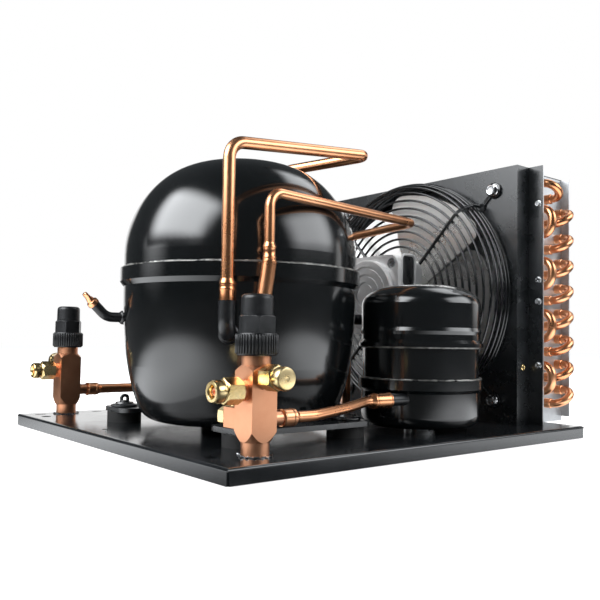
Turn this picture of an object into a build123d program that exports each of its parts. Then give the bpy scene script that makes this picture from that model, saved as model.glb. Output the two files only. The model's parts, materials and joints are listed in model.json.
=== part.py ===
from build123d import *
from math import cos, radians, sin, sqrt
import os

# Air-cooled refrigeration condensing unit: a hermetic compressor, a fan-cooled
# condenser, a liquid receiver and two service valves on one folded base pan.
#
# Units are millimetres, +Z up.  The origin is the middle of the whole unit's
# footprint, on the surface that the base pan stands on.  Sizes named *_from_left
# and *_from_front are measured from the base pan's left and front edges, and sizes
# named *_z or *_height from the surface below the pan.

os.makedirs("parts", exist_ok=True)

BOTTOM = (Align.CENTER, Align.CENTER, Align.MIN)

# ---------------------------------------------------------------- base pan
base_length = 404.0
base_width = 380.0
base_height = 11.0
base_sheet = 1.5
base_fold_radius = 2.2
corner_slit = 1.4
mounting_hole_radius = 4.5
mounting_hole_from_end = 14.0
mounting_hole_from_side = 41.0
drain_hole_radius = 2.5
drain_hole_from_left = 19.0
drain_hole_from_front = 216.0
pan_slot_length = 11.0
pan_slot_width = 4.0
pan_slots_from_left = 45.7
pan_slots_from_front = 360.5
pan_slots_spacing = 58.6

# ---------------------------------------------------------------- fasteners
pin_clearance = 0.15
screw_radius = 3.0
screw_head_height = 3.5
nut_across_flats = 13.0
nut_height = 7.5
braze_gap = 0.05

# ----------------------------------------------------------- shroud and coil
panel_from_left = 356.0
panel_from_front = 41.5
panel_side_margin = 11.5
panel_end_margin = 8.0
panel_sheet = 1.2
return_depth = 19.4
outer_flange_width = 15.5
fan_tip_gap = 7.0
fan_collar_depth = 6.0
coil_depth = 57.6
coil_top_drop = 5.0
end_plate_sheet = 1.2
rear_flange_width = 9.3
rear_flange_lift = 4.6
fin_gap = 0.5
fin_pitch = 5.0
fin_slot_width = 2.2
fin_slot_depth = 4.0
coil_tube_radius = 4.0
coil_bend_sides = 8
coil_column_pitch = 19.05
coil_first_column = 9.6
coil_row_pitch = 25.4
coil_top_margin = 10.2
coil_bottom_margin = 8.0
bend_reach = 19.0
bend_fullness = 0.49
flange_screw_radius = 3.4
flange_screw_height = 2.2
flange_screw_shank_radius = 1.9
flange_screw_shank_length = 4.0
flange_screw_from_edge = 4.3
flange_screw_heights = (224.0, 150.0, 129.0, 67.7)

# ---------------------------------------------------------------- fan guard
guard_wire = 2.6
guard_weld_sink = 0.1
guard_ring_sides = 36
guard_first_ring_radius = 54.0
guard_last_ring_inset = 5.6
guard_face_rings = 8
guard_wall_profile = ((0.5, 3.0), (3.5, 8.5), (5.0, 14.0), (5.5, 19.5), (5.0, 25.0))
guard_face_gap = 30.0
guard_arm_width = 4.0
guard_arm_inner_radius = 42.0
guard_bolt_inset = 25.9
guard_eye_radius = 8.0
guard_bolt_radius = 3.0
guard_bolt_head = 10.0
guard_bolt_head_height = 5.0
guard_bolt_length = 10.0

# ------------------------------------------------------------- fan and motor
motor_side = 80.0
motor_corner_radius = 12.0
motor_depth = 39.0
motor_body_depth = 27.0
motor_flange_step = 3.0
motor_boss_radius = 16.0
motor_boss_height = 4.0
motor_window_from_front = 16.0
motor_window_width = 18.0
motor_window_height = 30.0
motor_window_rise = 24.0
motor_window_depth = 3.0
motor_window_corner = 4.0
motor_cover_radius = 36.0
motor_cover_depth = 6.0
motor_cover_chamfer = 1.2
motor_cover_grooves = (28.0, 20.0, 12.0)
motor_cover_groove_width = 2.4
motor_cover_groove_depth = 1.2
motor_screw_spacing = 62.0
motor_screw_recess_radius = 5.5
motor_screw_recess_depth = 4.0
motor_screw_head_radius = 3.5
motor_screw_head_height = 3.0
shaft_radius = 4.0
shaft_clearance = 0.05
shaft_bore_depth = 20.0
shaft_end_gap = 1.0
shaft_end_length = 4.0
hub_gap = 6.5
hub_radius = 20.0
hub_length = 20.0
hub_edge_radius = 2.0
blade_count = 5
blade_first_angle = 113.5
blade_sector = 63.0
blade_tip_radius = 110.0
blade_corner_radius = 14.0
blade_thickness = 1.6
blade_pitch = 11.5
blade_slab_spare = 9.0
blade_camber = 3.5

# ---------------------------------------------------------------- compressor
compressor_from_left = 125.0
compressor_from_front = 171.0
shell_wall = 3.0
shell_fit = 0.1
shell_bottom_z = 18.0
shell_flat_radius = 70.0
shell_corner_radius = 19.7
shell_corner_turn = 68.8
shell_side_radius = 169.0
shell_side_turn = 12.2
lower_shell_radius = 103.0
rim_radius = 106.0
rim_drop = 11.0
rim_flare_height = 4.0
seam_z = 147.5
skirt_depth = 7.0
skirt_rise = 12.0
dome_crown_radius = 375.7
dome_crown_turn = 4.4
dome_shoulder_radius = 75.9
dome_shoulder_turn = 40.0
shell_top_z = 245.0
weld_width = 2.6
weld_height = 2.2

motor_post_height = 29.0
motor_post_radius = 7.0
motor_post_spacing = 80.0
stator_radius = 64.0
stator_height = 60.0
winding_outer_radius = 56.0
winding_inner_radius = 38.0
winding_height = 16.0
winding_clearance = 2.0
rotor_radius = 33.0
rotor_gap = 0.4
oil_tube_length = 24.0
crank_shaft_radius = 9.0
crank_web_gap = 2.0
crank_web_radius = 25.0
crank_web_thickness = 9.0
crank_throw = 12.0
crank_pin_radius = 7.0
crank_pin_length = 20.0
block_leg_height = 20.0
block_plate_thickness = 12.0
bearing_radius = 18.0
bearing_drop = 16.0
cylinder_start = 28.0
cylinder_length = 52.0
cylinder_block_side = 46.0
cylinder_bore_radius = 14.0
cylinder_head_thickness = 7.0

foot_spacing_x = 101.6
foot_spacing_y = 194.0
foot_centre_from_left = 111.5
foot_centre_from_front = 169.0
foot_plate_overhang_x = 13.0
foot_plate_overhang_y = 20.0
foot_plate_reach = 70.0
foot_plate_sheet = 4.0
foot_corner_radius = 10.0
foot_slot_spacing = 50.0
foot_slot_length = 12.0
foot_slot_width = 4.5
grommet_radius = 15.5
grommet_height = 9.5
grommet_neck_radius = 8.0
grommet_clearance = 0.1
sleeve_radius = 6.0
washer_radius = 12.5
washer_thickness = 4.3
pin_radius = 4.5
pin_head_radius = 7.0
pin_head_height = 3.0
pin_top_rise = 7.5
pin_hole_rise = 3.8
pin_hole_radius = 1.8

terminal_cover_z = 62.0
terminal_cover_width = 70.0
terminal_cover_depth = 28.0
terminal_cover_height = 62.0
terminal_cover_corner = 8.0
terminal_cover_edge = 5.0

# -------------------------------------------------------------------- tubing
suction_tube_radius = 4.75
discharge_tube_radius = 3.97
liquid_tube_radius = 4.0
stub_radius = 6.35
stub_bend_radius = 12.0
stub_depth_inside = 6.0
riser_from_shell = 16.0
suction_stub_angle = 230.5
suction_stub_z = 93.0
suction_stub_top_z = 117.0
discharge_stub_angle = 243.5
discharge_stub_z = 92.0
discharge_stub_top_z = 117.0
discharge_riser_angle = 245.3
discharge_swage_z = 146.0
swage_radius = 6.6
swage_length = 14.0
pipe_collar_radius = 6.2
pipe_collar_length = 11.0
liquid_fitting_length = 19.0

process_tube_from_front = 232.0
process_tube_z = 106.5
process_tube_radius = 4.3
process_tube_inner_end = 52.0
process_tube_corner = 25.0
process_tube_end = 13.0
process_tube_rise = 11.5
process_tube_bend_radius = 14.0
process_collar_radius = 4.9
process_collar_length = 4.0
process_tip_radius = 3.2
process_tip_length = 10.5
process_tip_width = 7.6
process_tip_thickness = 3.0

# ----------------------------------------------------------- liquid receiver
receiver_from_left = 254.0
receiver_from_front = 73.0
receiver_wall = 2.5
receiver_fit = 0.1
receiver_tube_radius = 51.5
receiver_cap_radius = 53.0
receiver_cup_radius = 52.5
receiver_lip_radius = 55.3
receiver_bottom_z = 15.0
receiver_top_z = 139.0
receiver_upper_seam_z = 87.5
receiver_lower_seam_z = 56.0
receiver_lap = 6.0
receiver_skirt = 3.0
receiver_lip_height = 8.0
receiver_neck_height = 3.0
receiver_bead_z = 98.0
receiver_bead_width = 6.0
receiver_bead_rise = 0.9
receiver_shoulder = 17.0
receiver_crown_radius = 813.0
receiver_crown_turn = 1.9
receiver_shoulder_radius = 35.4
receiver_shoulder_turn = 37.6
receiver_foot_round = 10.0
receiver_boss_radius = 14.0
receiver_stud_radius = 5.0
receiver_stud_drop = 10.5
receiver_stub_radius = 5.0
receiver_stub_depth_inside = 4.5
outlet_stub_from_front = 50.0
outlet_stub_z = 40.5
outlet_stub_from_left = 190.0
inlet_stub_angle = 105.0
inlet_stub_z = 109.0
inlet_stub_reach = 15.0
inlet_lead_length = 10.0
return_run_z = 27.5
coil_lead_reach = 40.0
coil_lead_drop = 50.0

# ------------------------------------------------------------ service valves
valve_from_left = 41.5
liquid_valve_from_front = 30.0
suction_valve_from_front = 359.0
valve_side = 20.4
valve_body_bottom_z = 20.5
valve_body_top_z = 71.6
valve_turned_foot = 7.1
valve_turned_top = 4.0
valve_stem_radius = 9.6
valve_neck_radius = 10.0
valve_neck_height = 6.1
valve_thread_radius = 9.4
valve_thread_height = 10.0
valve_screw_bite = 6.0
valve_screw_end_gap = 1.0
valve_low_port_z = 35.0
valve_middle_port_z = 54.8
valve_high_port_z = 64.0
valve_tail_radius = 5.2
valve_tail_length = 11.0
spigot_radius = 5.6
spigot_length = 9.0
spigot_clearance = 0.05
port_neck_radius = 7.0
port_neck_length = 3.5
flare_nut_across_flats = 16.0
flare_nut_length = 21.5
flare_hex_length = 13.0
flare_nose_radius = 7.6
flare_nose_taper = 8.0
flare_bore_radius = 3.4
port_cap_across_flats = 17.0
port_cap_reach = 28.3
port_cap_hex_length = 16.8
port_cap_round_radius = 8.4
port_cap_edge_radius = 1.0
gauge_block_side = 14.0
gauge_block_length = 18.0
gauge_plug_across_flats = 14.0
gauge_plug_length = 8.0
gauge_plug_shank_radius = 4.0
gauge_plug_shank_length = 8.0
star_washer_radius = 12.4
star_washer_thickness = 1.0
star_washer_teeth = 12
star_washer_notch_depth = 2.4
star_washer_notch_width = 2.0
valve_cap_gap = 0.3
cap_clearance = 0.3
cap_ring_radius = 14.7
cap_ring_height = 15.0
cap_knurls = 24
cap_knurl_depth = 1.2
cap_knurl_width = 1.6
cap_hex_across_flats = 23.4
cap_hex_height = 12.2
cap_nose_radius = 11.2
cap_nose_height = 14.2
cap_nose_round = 2.5
cap_hollow_radius = 6.5
cap_hollow_height = 36.0
spindle_radius = 3.2
spindle_clearance = 0.05
spindle_bore_depth = 30.0
spindle_end_gap = 1.0
spindle_rise = 5.0
spindle_square = 5.2
spindle_square_length = 8.0

# -------------------------------------------------------- places in the frame
port_overhang = valve_side / 2 + port_cap_reach
front_overhang = port_overhang - liquid_valve_from_front
rear_overhang = port_overhang - (base_width - suction_valve_from_front)
fan_opening_radius = blade_tip_radius + fan_tip_gap
panel_width = 2 * (fan_opening_radius + panel_side_margin)
panel_height = 2 * (fan_opening_radius + panel_end_margin)
overall_length = panel_from_left + return_depth + coil_depth
overall_width = front_overhang + base_width + rear_overhang
left = -overall_length / 2
front = -overall_width / 2 + front_overhang
deck = base_height
deck_underside = base_height - base_sheet

panel_x = left + panel_from_left
flange_x = panel_x + return_depth
coil_rear_x = flange_x + coil_depth
panel_front_y = front + panel_from_front
panel_rear_y = panel_front_y + panel_width
panel_middle_y = (panel_front_y + panel_rear_y) / 2
panel_top = deck + panel_height
coil_height = panel_height - coil_top_drop
coil_columns = [flange_x + coil_first_column + k * coil_column_pitch for k in range(3)]
coil_top_row_z = deck + coil_height - coil_top_margin
coil_room = coil_height - coil_top_margin - coil_bottom_margin - coil_row_pitch / 2
coil_rows = 2 * int(coil_room / (2 * coil_row_pitch))
fan_centre = Vector(panel_x, panel_middle_y, deck + panel_height / 2)
guard_bolt_offset = panel_width / 2 - guard_bolt_inset

compressor_x = left + compressor_from_left
compressor_y = front + compressor_from_front
rim_bottom = seam_z - rim_drop
foot_x = left + foot_centre_from_left
foot_y = front + foot_centre_from_front
foot_plate_z = deck + grommet_height
foot_plate_top = foot_plate_z + foot_plate_sheet
washer_top = foot_plate_top + washer_thickness

receiver_x = left + receiver_from_left
receiver_y = front + receiver_from_front
valve_x = left + valve_from_left
liquid_valve_y = front + liquid_valve_from_front
suction_valve_y = front + suction_valve_from_front
valve_tail_x = valve_x + valve_side / 2 + valve_tail_length
valve_neck_z = valve_body_top_z + valve_neck_height
valve_thread_z = valve_neck_z + valve_thread_height


def save(builder, name):
    """Label a finished piece and write it as its own STEP file."""
    builder.part.label = name
    export_step(builder.part, f"parts/{name}.step")


def at(from_left, from_front, height):
    """A point given from the base pan's left and front edges and the floor."""
    return Vector(left + from_left, front + from_front, height)


def upright_plane(x, y):
    """A vertical plane through (x, y): its X points right and its Y points up."""
    return Plane(origin=(x, y, 0), x_dir=(1, 0, 0), z_dir=(0, -1, 0))


def upright_axis(x, y):
    """The vertical line through (x, y)."""
    return Axis((x, y, 0), (0, 0, 1))


def heading(angle):
    """The level direction at an angle from +X."""
    return Vector(cos(radians(angle)), sin(radians(angle)), 0)


def on_shell(angle, radius, height):
    """A point at an angle and a distance from the compressor's axis."""
    return Vector(compressor_x, compressor_y, height) + heading(angle) * radius


def grommet_spots(height):
    """The four compressor mounting points, at one height."""
    return [
        (foot_x + sx * foot_spacing_x / 2, foot_y + sy * foot_spacing_y / 2, height)
        for sx in (-1, 1)
        for sy in (-1, 1)
    ]


def build_tube(points, bends, radius, collars=()):
    """A tube along straight runs joined by bends, with a wider collar at some ends.

    collars holds (plane, radius, length) for each one, which grows along its plane.
    """
    with BuildPart() as tube:
        with BuildLine() as route:
            FilletPolyline(*points, radius=bends)
        with BuildSketch(Plane(origin=route.line @ 0, z_dir=route.line % 0)):
            Circle(radius)
        sweep()
        for plane, collar_radius, length in collars:
            with BuildSketch(plane):
                Circle(collar_radius)
            extrude(amount=length)
    return tube


# ================================================================= base pan
mounting_spacing_x = base_length - 2 * mounting_hole_from_end
mounting_spacing_y = base_width - 2 * mounting_hole_from_side
base_middle = at(base_length / 2, base_width / 2, 0)
slit_height = 2 * (base_height - base_fold_radius)

with BuildPart() as base_pan:
    with Locations(base_middle):
        Box(base_length, base_width, base_height, align=BOTTOM)
    fillet(base_pan.edges().group_by(Axis.Z)[-1], base_fold_radius)
    offset(amount=-base_sheet, openings=base_pan.faces().sort_by(Axis.Z)[0])
    with Locations(base_middle):
        with GridLocations(base_length, base_width, 2, 2):
            Box(2 * base_sheet, 2 * corner_slit, slit_height, mode=Mode.SUBTRACT)
        with GridLocations(mounting_spacing_x, mounting_spacing_y, 2, 2):
            Cylinder(mounting_hole_radius, 3 * base_height, mode=Mode.SUBTRACT)
    with Locations(at(drain_hole_from_left, drain_hole_from_front, deck)):
        Cylinder(drain_hole_radius, 3 * base_sheet, mode=Mode.SUBTRACT)
    with BuildSketch(Plane(origin=at(pan_slots_from_left, pan_slots_from_front, deck))):
        with GridLocations(pan_slots_spacing, 0, 2, 1):
            SlotOverall(pan_slot_length, pan_slot_width)
    extrude(amount=-2 * base_sheet, mode=Mode.SUBTRACT)
    with Locations(*grommet_spots(deck)):
        Cylinder(pin_radius + pin_clearance, 3 * base_sheet, mode=Mode.SUBTRACT)
    with Locations((valve_x, liquid_valve_y, deck), (valve_x, suction_valve_y, deck)):
        Cylinder(screw_radius + pin_clearance, 3 * base_sheet, mode=Mode.SUBTRACT)
    with Locations((receiver_x, receiver_y, deck)):
        Cylinder(receiver_stud_radius + pin_clearance, 3 * base_sheet, mode=Mode.SUBTRACT)
save(base_pan, "base_pan")

# =============================================================== compressor
# Two deep-drawn steel halves: the lower one flares into a rim that the upper one
# drops into, and a weld runs round the top of the rim.
shell_plane = upright_plane(compressor_x, compressor_y)
shell_axis = upright_axis(compressor_x, compressor_y)


def draw_lower_shell():
    """The lower shell's outer outline, from its axis out to the rim and back."""
    Line((0, shell_bottom_z), (shell_flat_radius, shell_bottom_z))
    corner = JernArc(
        (shell_flat_radius, shell_bottom_z), (1, 0), shell_corner_radius, shell_corner_turn
    )
    side = JernArc(corner @ 1, corner % 1, shell_side_radius, shell_side_turn)
    TangentArc(side @ 1, (lower_shell_radius, rim_bottom - rim_flare_height), tangent=side % 1)
    Polyline(
        (lower_shell_radius, rim_bottom - rim_flare_height),
        (rim_radius, rim_bottom),
        (rim_radius, seam_z),
        (0, seam_z),
        (0, shell_bottom_z),
    )


with BuildPart() as shell_envelope:
    with BuildSketch(shell_plane):
        with BuildLine():
            draw_lower_shell()
        make_face()
    revolve(axis=shell_axis)

process_root = at(process_tube_inner_end, process_tube_from_front, process_tube_z)
shell_holes = (
    (on_shell(suction_stub_angle, 0, suction_stub_z), heading(suction_stub_angle), stub_radius),
    (on_shell(discharge_stub_angle, 0, discharge_stub_z), heading(discharge_stub_angle), stub_radius),
    (process_root, heading(180), process_tube_radius),
)

with BuildPart() as compressor_lower_shell:
    with BuildSketch(shell_plane):
        with BuildLine():
            draw_lower_shell()
        make_face()
    revolve(axis=shell_axis)
    offset(amount=-shell_wall, openings=compressor_lower_shell.faces().sort_by(Axis.Z)[-1])
    for start, direction, radius in shell_holes:
        with BuildSketch(Plane(origin=start, z_dir=direction)):
            Circle(radius + braze_gap)
        extrude(amount=2 * rim_radius, mode=Mode.SUBTRACT)
save(compressor_lower_shell, "compressor_lower_shell")

skirt_radius = rim_radius - shell_wall - shell_fit


def draw_dome(inset):
    """The upper shell's outline, set in by inset: over its dome and down its skirt."""
    crown = JernArc(
        (0, shell_top_z - inset), (1, 0), dome_crown_radius - inset, -dome_crown_turn
    )
    shoulder = JernArc(
        crown @ 1, crown % 1, dome_shoulder_radius - inset, -dome_shoulder_turn
    )
    skirt_top = (skirt_radius - inset, seam_z + skirt_rise)
    TangentArc(shoulder @ 1, skirt_top, tangent=shoulder % 1)
    Polyline(
        skirt_top,
        (skirt_radius - inset, seam_z - skirt_depth),
        (0, seam_z - skirt_depth),
        (0, shell_top_z - inset),
    )


with BuildPart() as compressor_upper_shell:
    for inset, mode in ((0, Mode.ADD), (shell_wall, Mode.SUBTRACT)):
        with BuildSketch(shell_plane):
            with BuildLine():
                draw_dome(inset)
            make_face()
        revolve(axis=shell_axis, mode=mode)
save(compressor_upper_shell, "compressor_upper_shell")

with BuildPart() as compressor_weld_bead:
    with BuildSketch(shell_plane):
        with BuildLine():
            Polyline(
                (skirt_radius, seam_z),
                (skirt_radius + weld_width, seam_z),
                (skirt_radius, seam_z + weld_height),
                close=True,
            )
        make_face()
    revolve(axis=shell_axis)
save(compressor_weld_bead, "compressor_weld_bead")

# Inside the shell: a motor standing on the floor, the pump block on top of it, and the
# crankshaft with its rotor through both.
stator_bottom_z = shell_bottom_z + shell_wall + motor_post_height
stator_top_z = stator_bottom_z + stator_height
block_plate_z = stator_top_z + block_leg_height
block_top_z = block_plate_z + block_plate_thickness

with BuildPart() as compressor_stator:
    with Locations((compressor_x, compressor_y, stator_bottom_z)):
        Cylinder(stator_radius, stator_height, align=BOTTOM)
    with Locations((compressor_x, compressor_y, stator_bottom_z - winding_height)):
        Cylinder(winding_outer_radius, stator_height + 2 * winding_height, align=BOTTOM)
    with Locations((compressor_x, compressor_y, stator_bottom_z - motor_post_height)):
        with GridLocations(motor_post_spacing, motor_post_spacing, 2, 2):
            Cylinder(motor_post_radius, motor_post_height, align=BOTTOM)
    with Locations((compressor_x, compressor_y, stator_bottom_z + stator_height / 2)):
        Cylinder(rotor_radius + rotor_gap, 2 * stator_height, mode=Mode.SUBTRACT)
    with Locations(
        (compressor_x, compressor_y, stator_bottom_z - winding_height / 2),
        (compressor_x, compressor_y, stator_top_z + winding_height / 2),
    ):
        Cylinder(winding_inner_radius, winding_height, mode=Mode.SUBTRACT)
save(compressor_stator, "compressor_stator")

with BuildPart() as compressor_crankshaft:
    with Locations((compressor_x, compressor_y, stator_bottom_z)):
        Cylinder(rotor_radius, stator_height, align=BOTTOM)
    with Locations((compressor_x, compressor_y, stator_bottom_z - oil_tube_length)):
        Cylinder(
            crank_shaft_radius,
            block_top_z + crank_web_gap - stator_bottom_z + oil_tube_length,
            align=BOTTOM,
        )
    with Locations((compressor_x, compressor_y, block_top_z + crank_web_gap)):
        Cylinder(crank_web_radius, crank_web_thickness, align=BOTTOM)
    with Locations(
        (compressor_x, compressor_y + crank_throw, block_top_z + crank_web_gap + crank_web_thickness)
    ):
        Cylinder(crank_pin_radius, crank_pin_length, align=BOTTOM)
save(compressor_crankshaft, "compressor_crankshaft")

cylinder_axis_z = block_top_z + cylinder_block_side / 2
with BuildPart() as compressor_block:
    with Locations((compressor_x, compressor_y, block_plate_z)):
        Cylinder(stator_radius, block_plate_thickness, align=BOTTOM)
    with Locations((compressor_x, compressor_y, stator_top_z)):
        Cylinder(stator_radius, block_leg_height, align=BOTTOM)
        Cylinder(
            winding_outer_radius + winding_clearance,
            block_leg_height,
            align=BOTTOM,
            mode=Mode.SUBTRACT,
        )
    with Locations((compressor_x, compressor_y, block_plate_z - bearing_drop)):
        Cylinder(bearing_radius, bearing_drop, align=BOTTOM)
    with Locations((compressor_x, compressor_y + cylinder_start, block_top_z)):
        Box(
            cylinder_block_side,
            cylinder_length,
            cylinder_block_side,
            align=(Align.CENTER, Align.MIN, Align.MIN),
        )
    with BuildSketch(
        Plane(origin=(compressor_x, compressor_y + cylinder_start, cylinder_axis_z), z_dir=(0, 1, 0))
    ):
        Circle(cylinder_bore_radius)
    extrude(amount=cylinder_length - cylinder_head_thickness, mode=Mode.SUBTRACT)
    with Locations((compressor_x, compressor_y, block_top_z)):
        Cylinder(crank_shaft_radius + shaft_clearance, 2 * stator_height, mode=Mode.SUBTRACT)
save(compressor_block, "compressor_block")

# Mounting feet: one pressed plate at the front and one at the rear, cut to the shell.
foot_length = foot_spacing_x + 2 * foot_plate_overhang_x
for side, name in ((-1, "compressor_foot_front"), (1, "compressor_foot_rear")):
    row_y = foot_y + side * foot_spacing_y / 2
    outer_y = row_y + side * foot_plate_overhang_y
    inner_y = compressor_y + side * foot_plate_reach
    with BuildPart() as foot_plate:
        with BuildSketch(Plane.XY.offset(foot_plate_z)):
            with Locations((foot_x, (outer_y + inner_y) / 2)):
                RectangleRounded(foot_length, abs(outer_y - inner_y), foot_corner_radius)
            with Locations((foot_x, row_y)):
                with GridLocations(foot_spacing_x, 0, 2, 1):
                    Circle(grommet_neck_radius + grommet_clearance, mode=Mode.SUBTRACT)
                with GridLocations(foot_slot_spacing, 0, 2, 1):
                    SlotOverall(foot_slot_length, foot_slot_width, mode=Mode.SUBTRACT)
        extrude(amount=foot_plate_sheet)
        add(shell_envelope.part, mode=Mode.SUBTRACT)
    save(foot_plate, name)

with BuildPart() as mounting_grommets:
    with Locations(*grommet_spots(deck)):
        Cylinder(grommet_radius, grommet_height, align=BOTTOM)
        Cylinder(grommet_neck_radius, grommet_height + foot_plate_sheet, align=BOTTOM)
        Cylinder(
            sleeve_radius,
            grommet_height + foot_plate_sheet,
            align=BOTTOM,
            mode=Mode.SUBTRACT,
        )
save(mounting_grommets, "mounting_grommets")

with BuildPart() as mounting_sleeves:
    with Locations(*grommet_spots(deck)):
        Cylinder(sleeve_radius, grommet_height + foot_plate_sheet, align=BOTTOM)
        Cylinder(
            pin_radius + pin_clearance,
            grommet_height + foot_plate_sheet,
            align=BOTTOM,
            mode=Mode.SUBTRACT,
        )
save(mounting_sleeves, "mounting_sleeves")

with BuildPart() as mounting_washers:
    with Locations(*grommet_spots(foot_plate_top)):
        Cylinder(washer_radius, washer_thickness, align=BOTTOM)
        Cylinder(pin_radius + pin_clearance, washer_thickness, align=BOTTOM, mode=Mode.SUBTRACT)
save(mounting_washers, "mounting_washers")

with BuildPart() as mounting_pins:
    with Locations(*grommet_spots(deck_underside - pin_head_height)):
        Cylinder(pin_head_radius, pin_head_height, align=BOTTOM)
    with Locations(*grommet_spots(deck_underside)):
        Cylinder(pin_radius, washer_top + pin_top_rise - deck_underside, align=BOTTOM)
    with Locations(*grommet_spots(washer_top + pin_hole_rise)):
        Cylinder(pin_hole_radius, 3 * pin_radius, rotation=(90, 0, 0), mode=Mode.SUBTRACT)
save(mounting_pins, "mounting_pins")

# Suction and discharge stubs: steel elbows brazed into the shell.
riser_radius = lower_shell_radius + riser_from_shell
stub_inner_radius = lower_shell_radius - shell_wall - stub_depth_inside
for name, angle, height, top in (
    ("suction_stub", suction_stub_angle, suction_stub_z, suction_stub_top_z),
    ("discharge_stub", discharge_stub_angle, discharge_stub_z, discharge_stub_top_z),
):
    stub_route = [
        on_shell(angle, stub_inner_radius, height),
        on_shell(angle, riser_radius, height),
        on_shell(angle, riser_radius, top),
    ]
    save(build_tube(stub_route, stub_bend_radius, stub_radius), name)

# Process tube: the pinched-off filling tube on the shell's left side.
process_corner = at(process_tube_corner, process_tube_from_front, process_tube_z)
process_end = at(process_tube_end, process_tube_from_front, process_tube_z + process_tube_rise)
process_tube = build_tube(
    [process_root, process_corner, process_end],
    process_tube_bend_radius,
    process_tube_radius,
)
save(process_tube, "process_tube")

with BuildPart() as process_tube_tip:
    tip_plane = Plane(origin=process_end, x_dir=(0, 1, 0), z_dir=process_end - process_corner)
    with BuildSketch(tip_plane):
        Circle(process_collar_radius)
    extrude(amount=process_collar_length)
    with BuildSketch(tip_plane.offset(process_collar_length)):
        Circle(process_tip_radius)
    with BuildSketch(tip_plane.offset(process_collar_length + process_tip_length)):
        Ellipse(process_tip_width / 2, process_tip_thickness / 2)
    loft()
save(process_tube_tip, "process_tube_tip")

# Terminal cover: the snap-on box over the electrical pins, at the rear of the shell.
with BuildPart() as terminal_cover:
    with BuildSketch(Plane.XY.offset(terminal_cover_z)):
        with Locations((compressor_x, compressor_y + lower_shell_radius)):
            RectangleRounded(
                terminal_cover_width, 2 * terminal_cover_depth, terminal_cover_corner
            )
    extrude(amount=terminal_cover_height)
    fillet(terminal_cover.edges().group_by(Axis.Z)[-1], terminal_cover_edge)
    add(shell_envelope.part, mode=Mode.SUBTRACT)
save(terminal_cover, "terminal_cover")

# ========================================================== liquid receiver
# A plain tube between two deep-drawn caps whose flared rims lap over its ends.
receiver_plane = upright_plane(receiver_x, receiver_y)
receiver_axis = upright_axis(receiver_x, receiver_y)
receiver_lap_radius = receiver_tube_radius + receiver_fit
receiver_tube_bottom = receiver_lower_seam_z - receiver_lap
receiver_tube_top = receiver_upper_seam_z + receiver_lap

with BuildPart() as receiver_tube:
    with Locations((receiver_x, receiver_y, receiver_tube_bottom)):
        Cylinder(receiver_tube_radius, receiver_tube_top - receiver_tube_bottom, align=BOTTOM)
        Cylinder(
            receiver_tube_radius - receiver_wall,
            receiver_tube_top - receiver_tube_bottom,
            align=BOTTOM,
            mode=Mode.SUBTRACT,
        )
save(receiver_tube, "receiver_tube")

inlet_direction = heading(inlet_stub_angle)
inlet_root = Vector(receiver_x, receiver_y, inlet_stub_z) + inlet_direction * (
    receiver_cap_radius - receiver_stub_depth_inside
)
inlet_end = Vector(receiver_x, receiver_y, inlet_stub_z) + inlet_direction * (
    receiver_cap_radius + inlet_stub_reach
)


def draw_receiver_dome(inset, foot):
    """The upper cap's outline, set in by inset: its axis and its round shoulder."""
    top = receiver_top_z - inset
    Line((0, foot), (0, top))
    crown = JernArc((0, top), (1, 0), receiver_crown_radius - inset, -receiver_crown_turn)
    shoulder = JernArc(
        crown @ 1, crown % 1, receiver_shoulder_radius - inset, -receiver_shoulder_turn
    )
    side_top = (receiver_cap_radius - inset, receiver_top_z - receiver_shoulder)
    TangentArc(shoulder @ 1, side_top, tangent=shoulder % 1)


with BuildPart() as receiver_top_cap:
    with BuildSketch(receiver_plane):
        with BuildLine():
            draw_receiver_dome(0, receiver_upper_seam_z - receiver_skirt)
            Polyline(
                (receiver_cap_radius, receiver_top_z - receiver_shoulder),
                (receiver_cap_radius, receiver_bead_z + receiver_bead_width / 2),
                (receiver_cap_radius + receiver_bead_rise, receiver_bead_z),
                (receiver_cap_radius, receiver_bead_z - receiver_bead_width / 2),
                (receiver_cap_radius, receiver_upper_seam_z + receiver_neck_height),
                (receiver_lip_radius, receiver_upper_seam_z),
                (receiver_lip_radius, receiver_upper_seam_z - receiver_skirt),
                (0, receiver_upper_seam_z - receiver_skirt),
            )
        make_face()
    revolve(axis=receiver_axis)
    with BuildSketch(receiver_plane):
        with BuildLine():
            draw_receiver_dome(receiver_wall, receiver_upper_seam_z - receiver_skirt)
            Polyline(
                (receiver_cap_radius - receiver_wall, receiver_top_z - receiver_shoulder),
                (receiver_cap_radius - receiver_wall, receiver_tube_top),
                (receiver_lap_radius, receiver_tube_top),
                (receiver_lap_radius, receiver_upper_seam_z - receiver_skirt),
                (0, receiver_upper_seam_z - receiver_skirt),
            )
        make_face()
    revolve(axis=receiver_axis, mode=Mode.SUBTRACT)
    with BuildSketch(Plane(origin=inlet_root, z_dir=inlet_direction)):
        Circle(receiver_stub_radius + braze_gap)
    extrude(amount=receiver_lip_radius, both=True, mode=Mode.SUBTRACT)
save(receiver_top_cap, "receiver_top_cap")

outlet_stub_start = at(outlet_stub_from_left, outlet_stub_from_front, outlet_stub_z)
outlet_chord = sqrt(receiver_cup_radius**2 - (receiver_from_front - outlet_stub_from_front) ** 2)
outlet_stub_length = (
    receiver_from_left - outlet_chord + receiver_stub_depth_inside - outlet_stub_from_left
)


def draw_receiver_cup(radius, floor, top, round_radius):
    """The lower cap's outline from its axis, round its bottom corner and up its side."""
    Line((0, top), (0, floor))
    Line((0, floor), (radius - round_radius, floor))
    CenterArc((radius - round_radius, floor + round_radius), round_radius, -90, 90)
    Line((radius, floor + round_radius), (radius, top))


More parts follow.
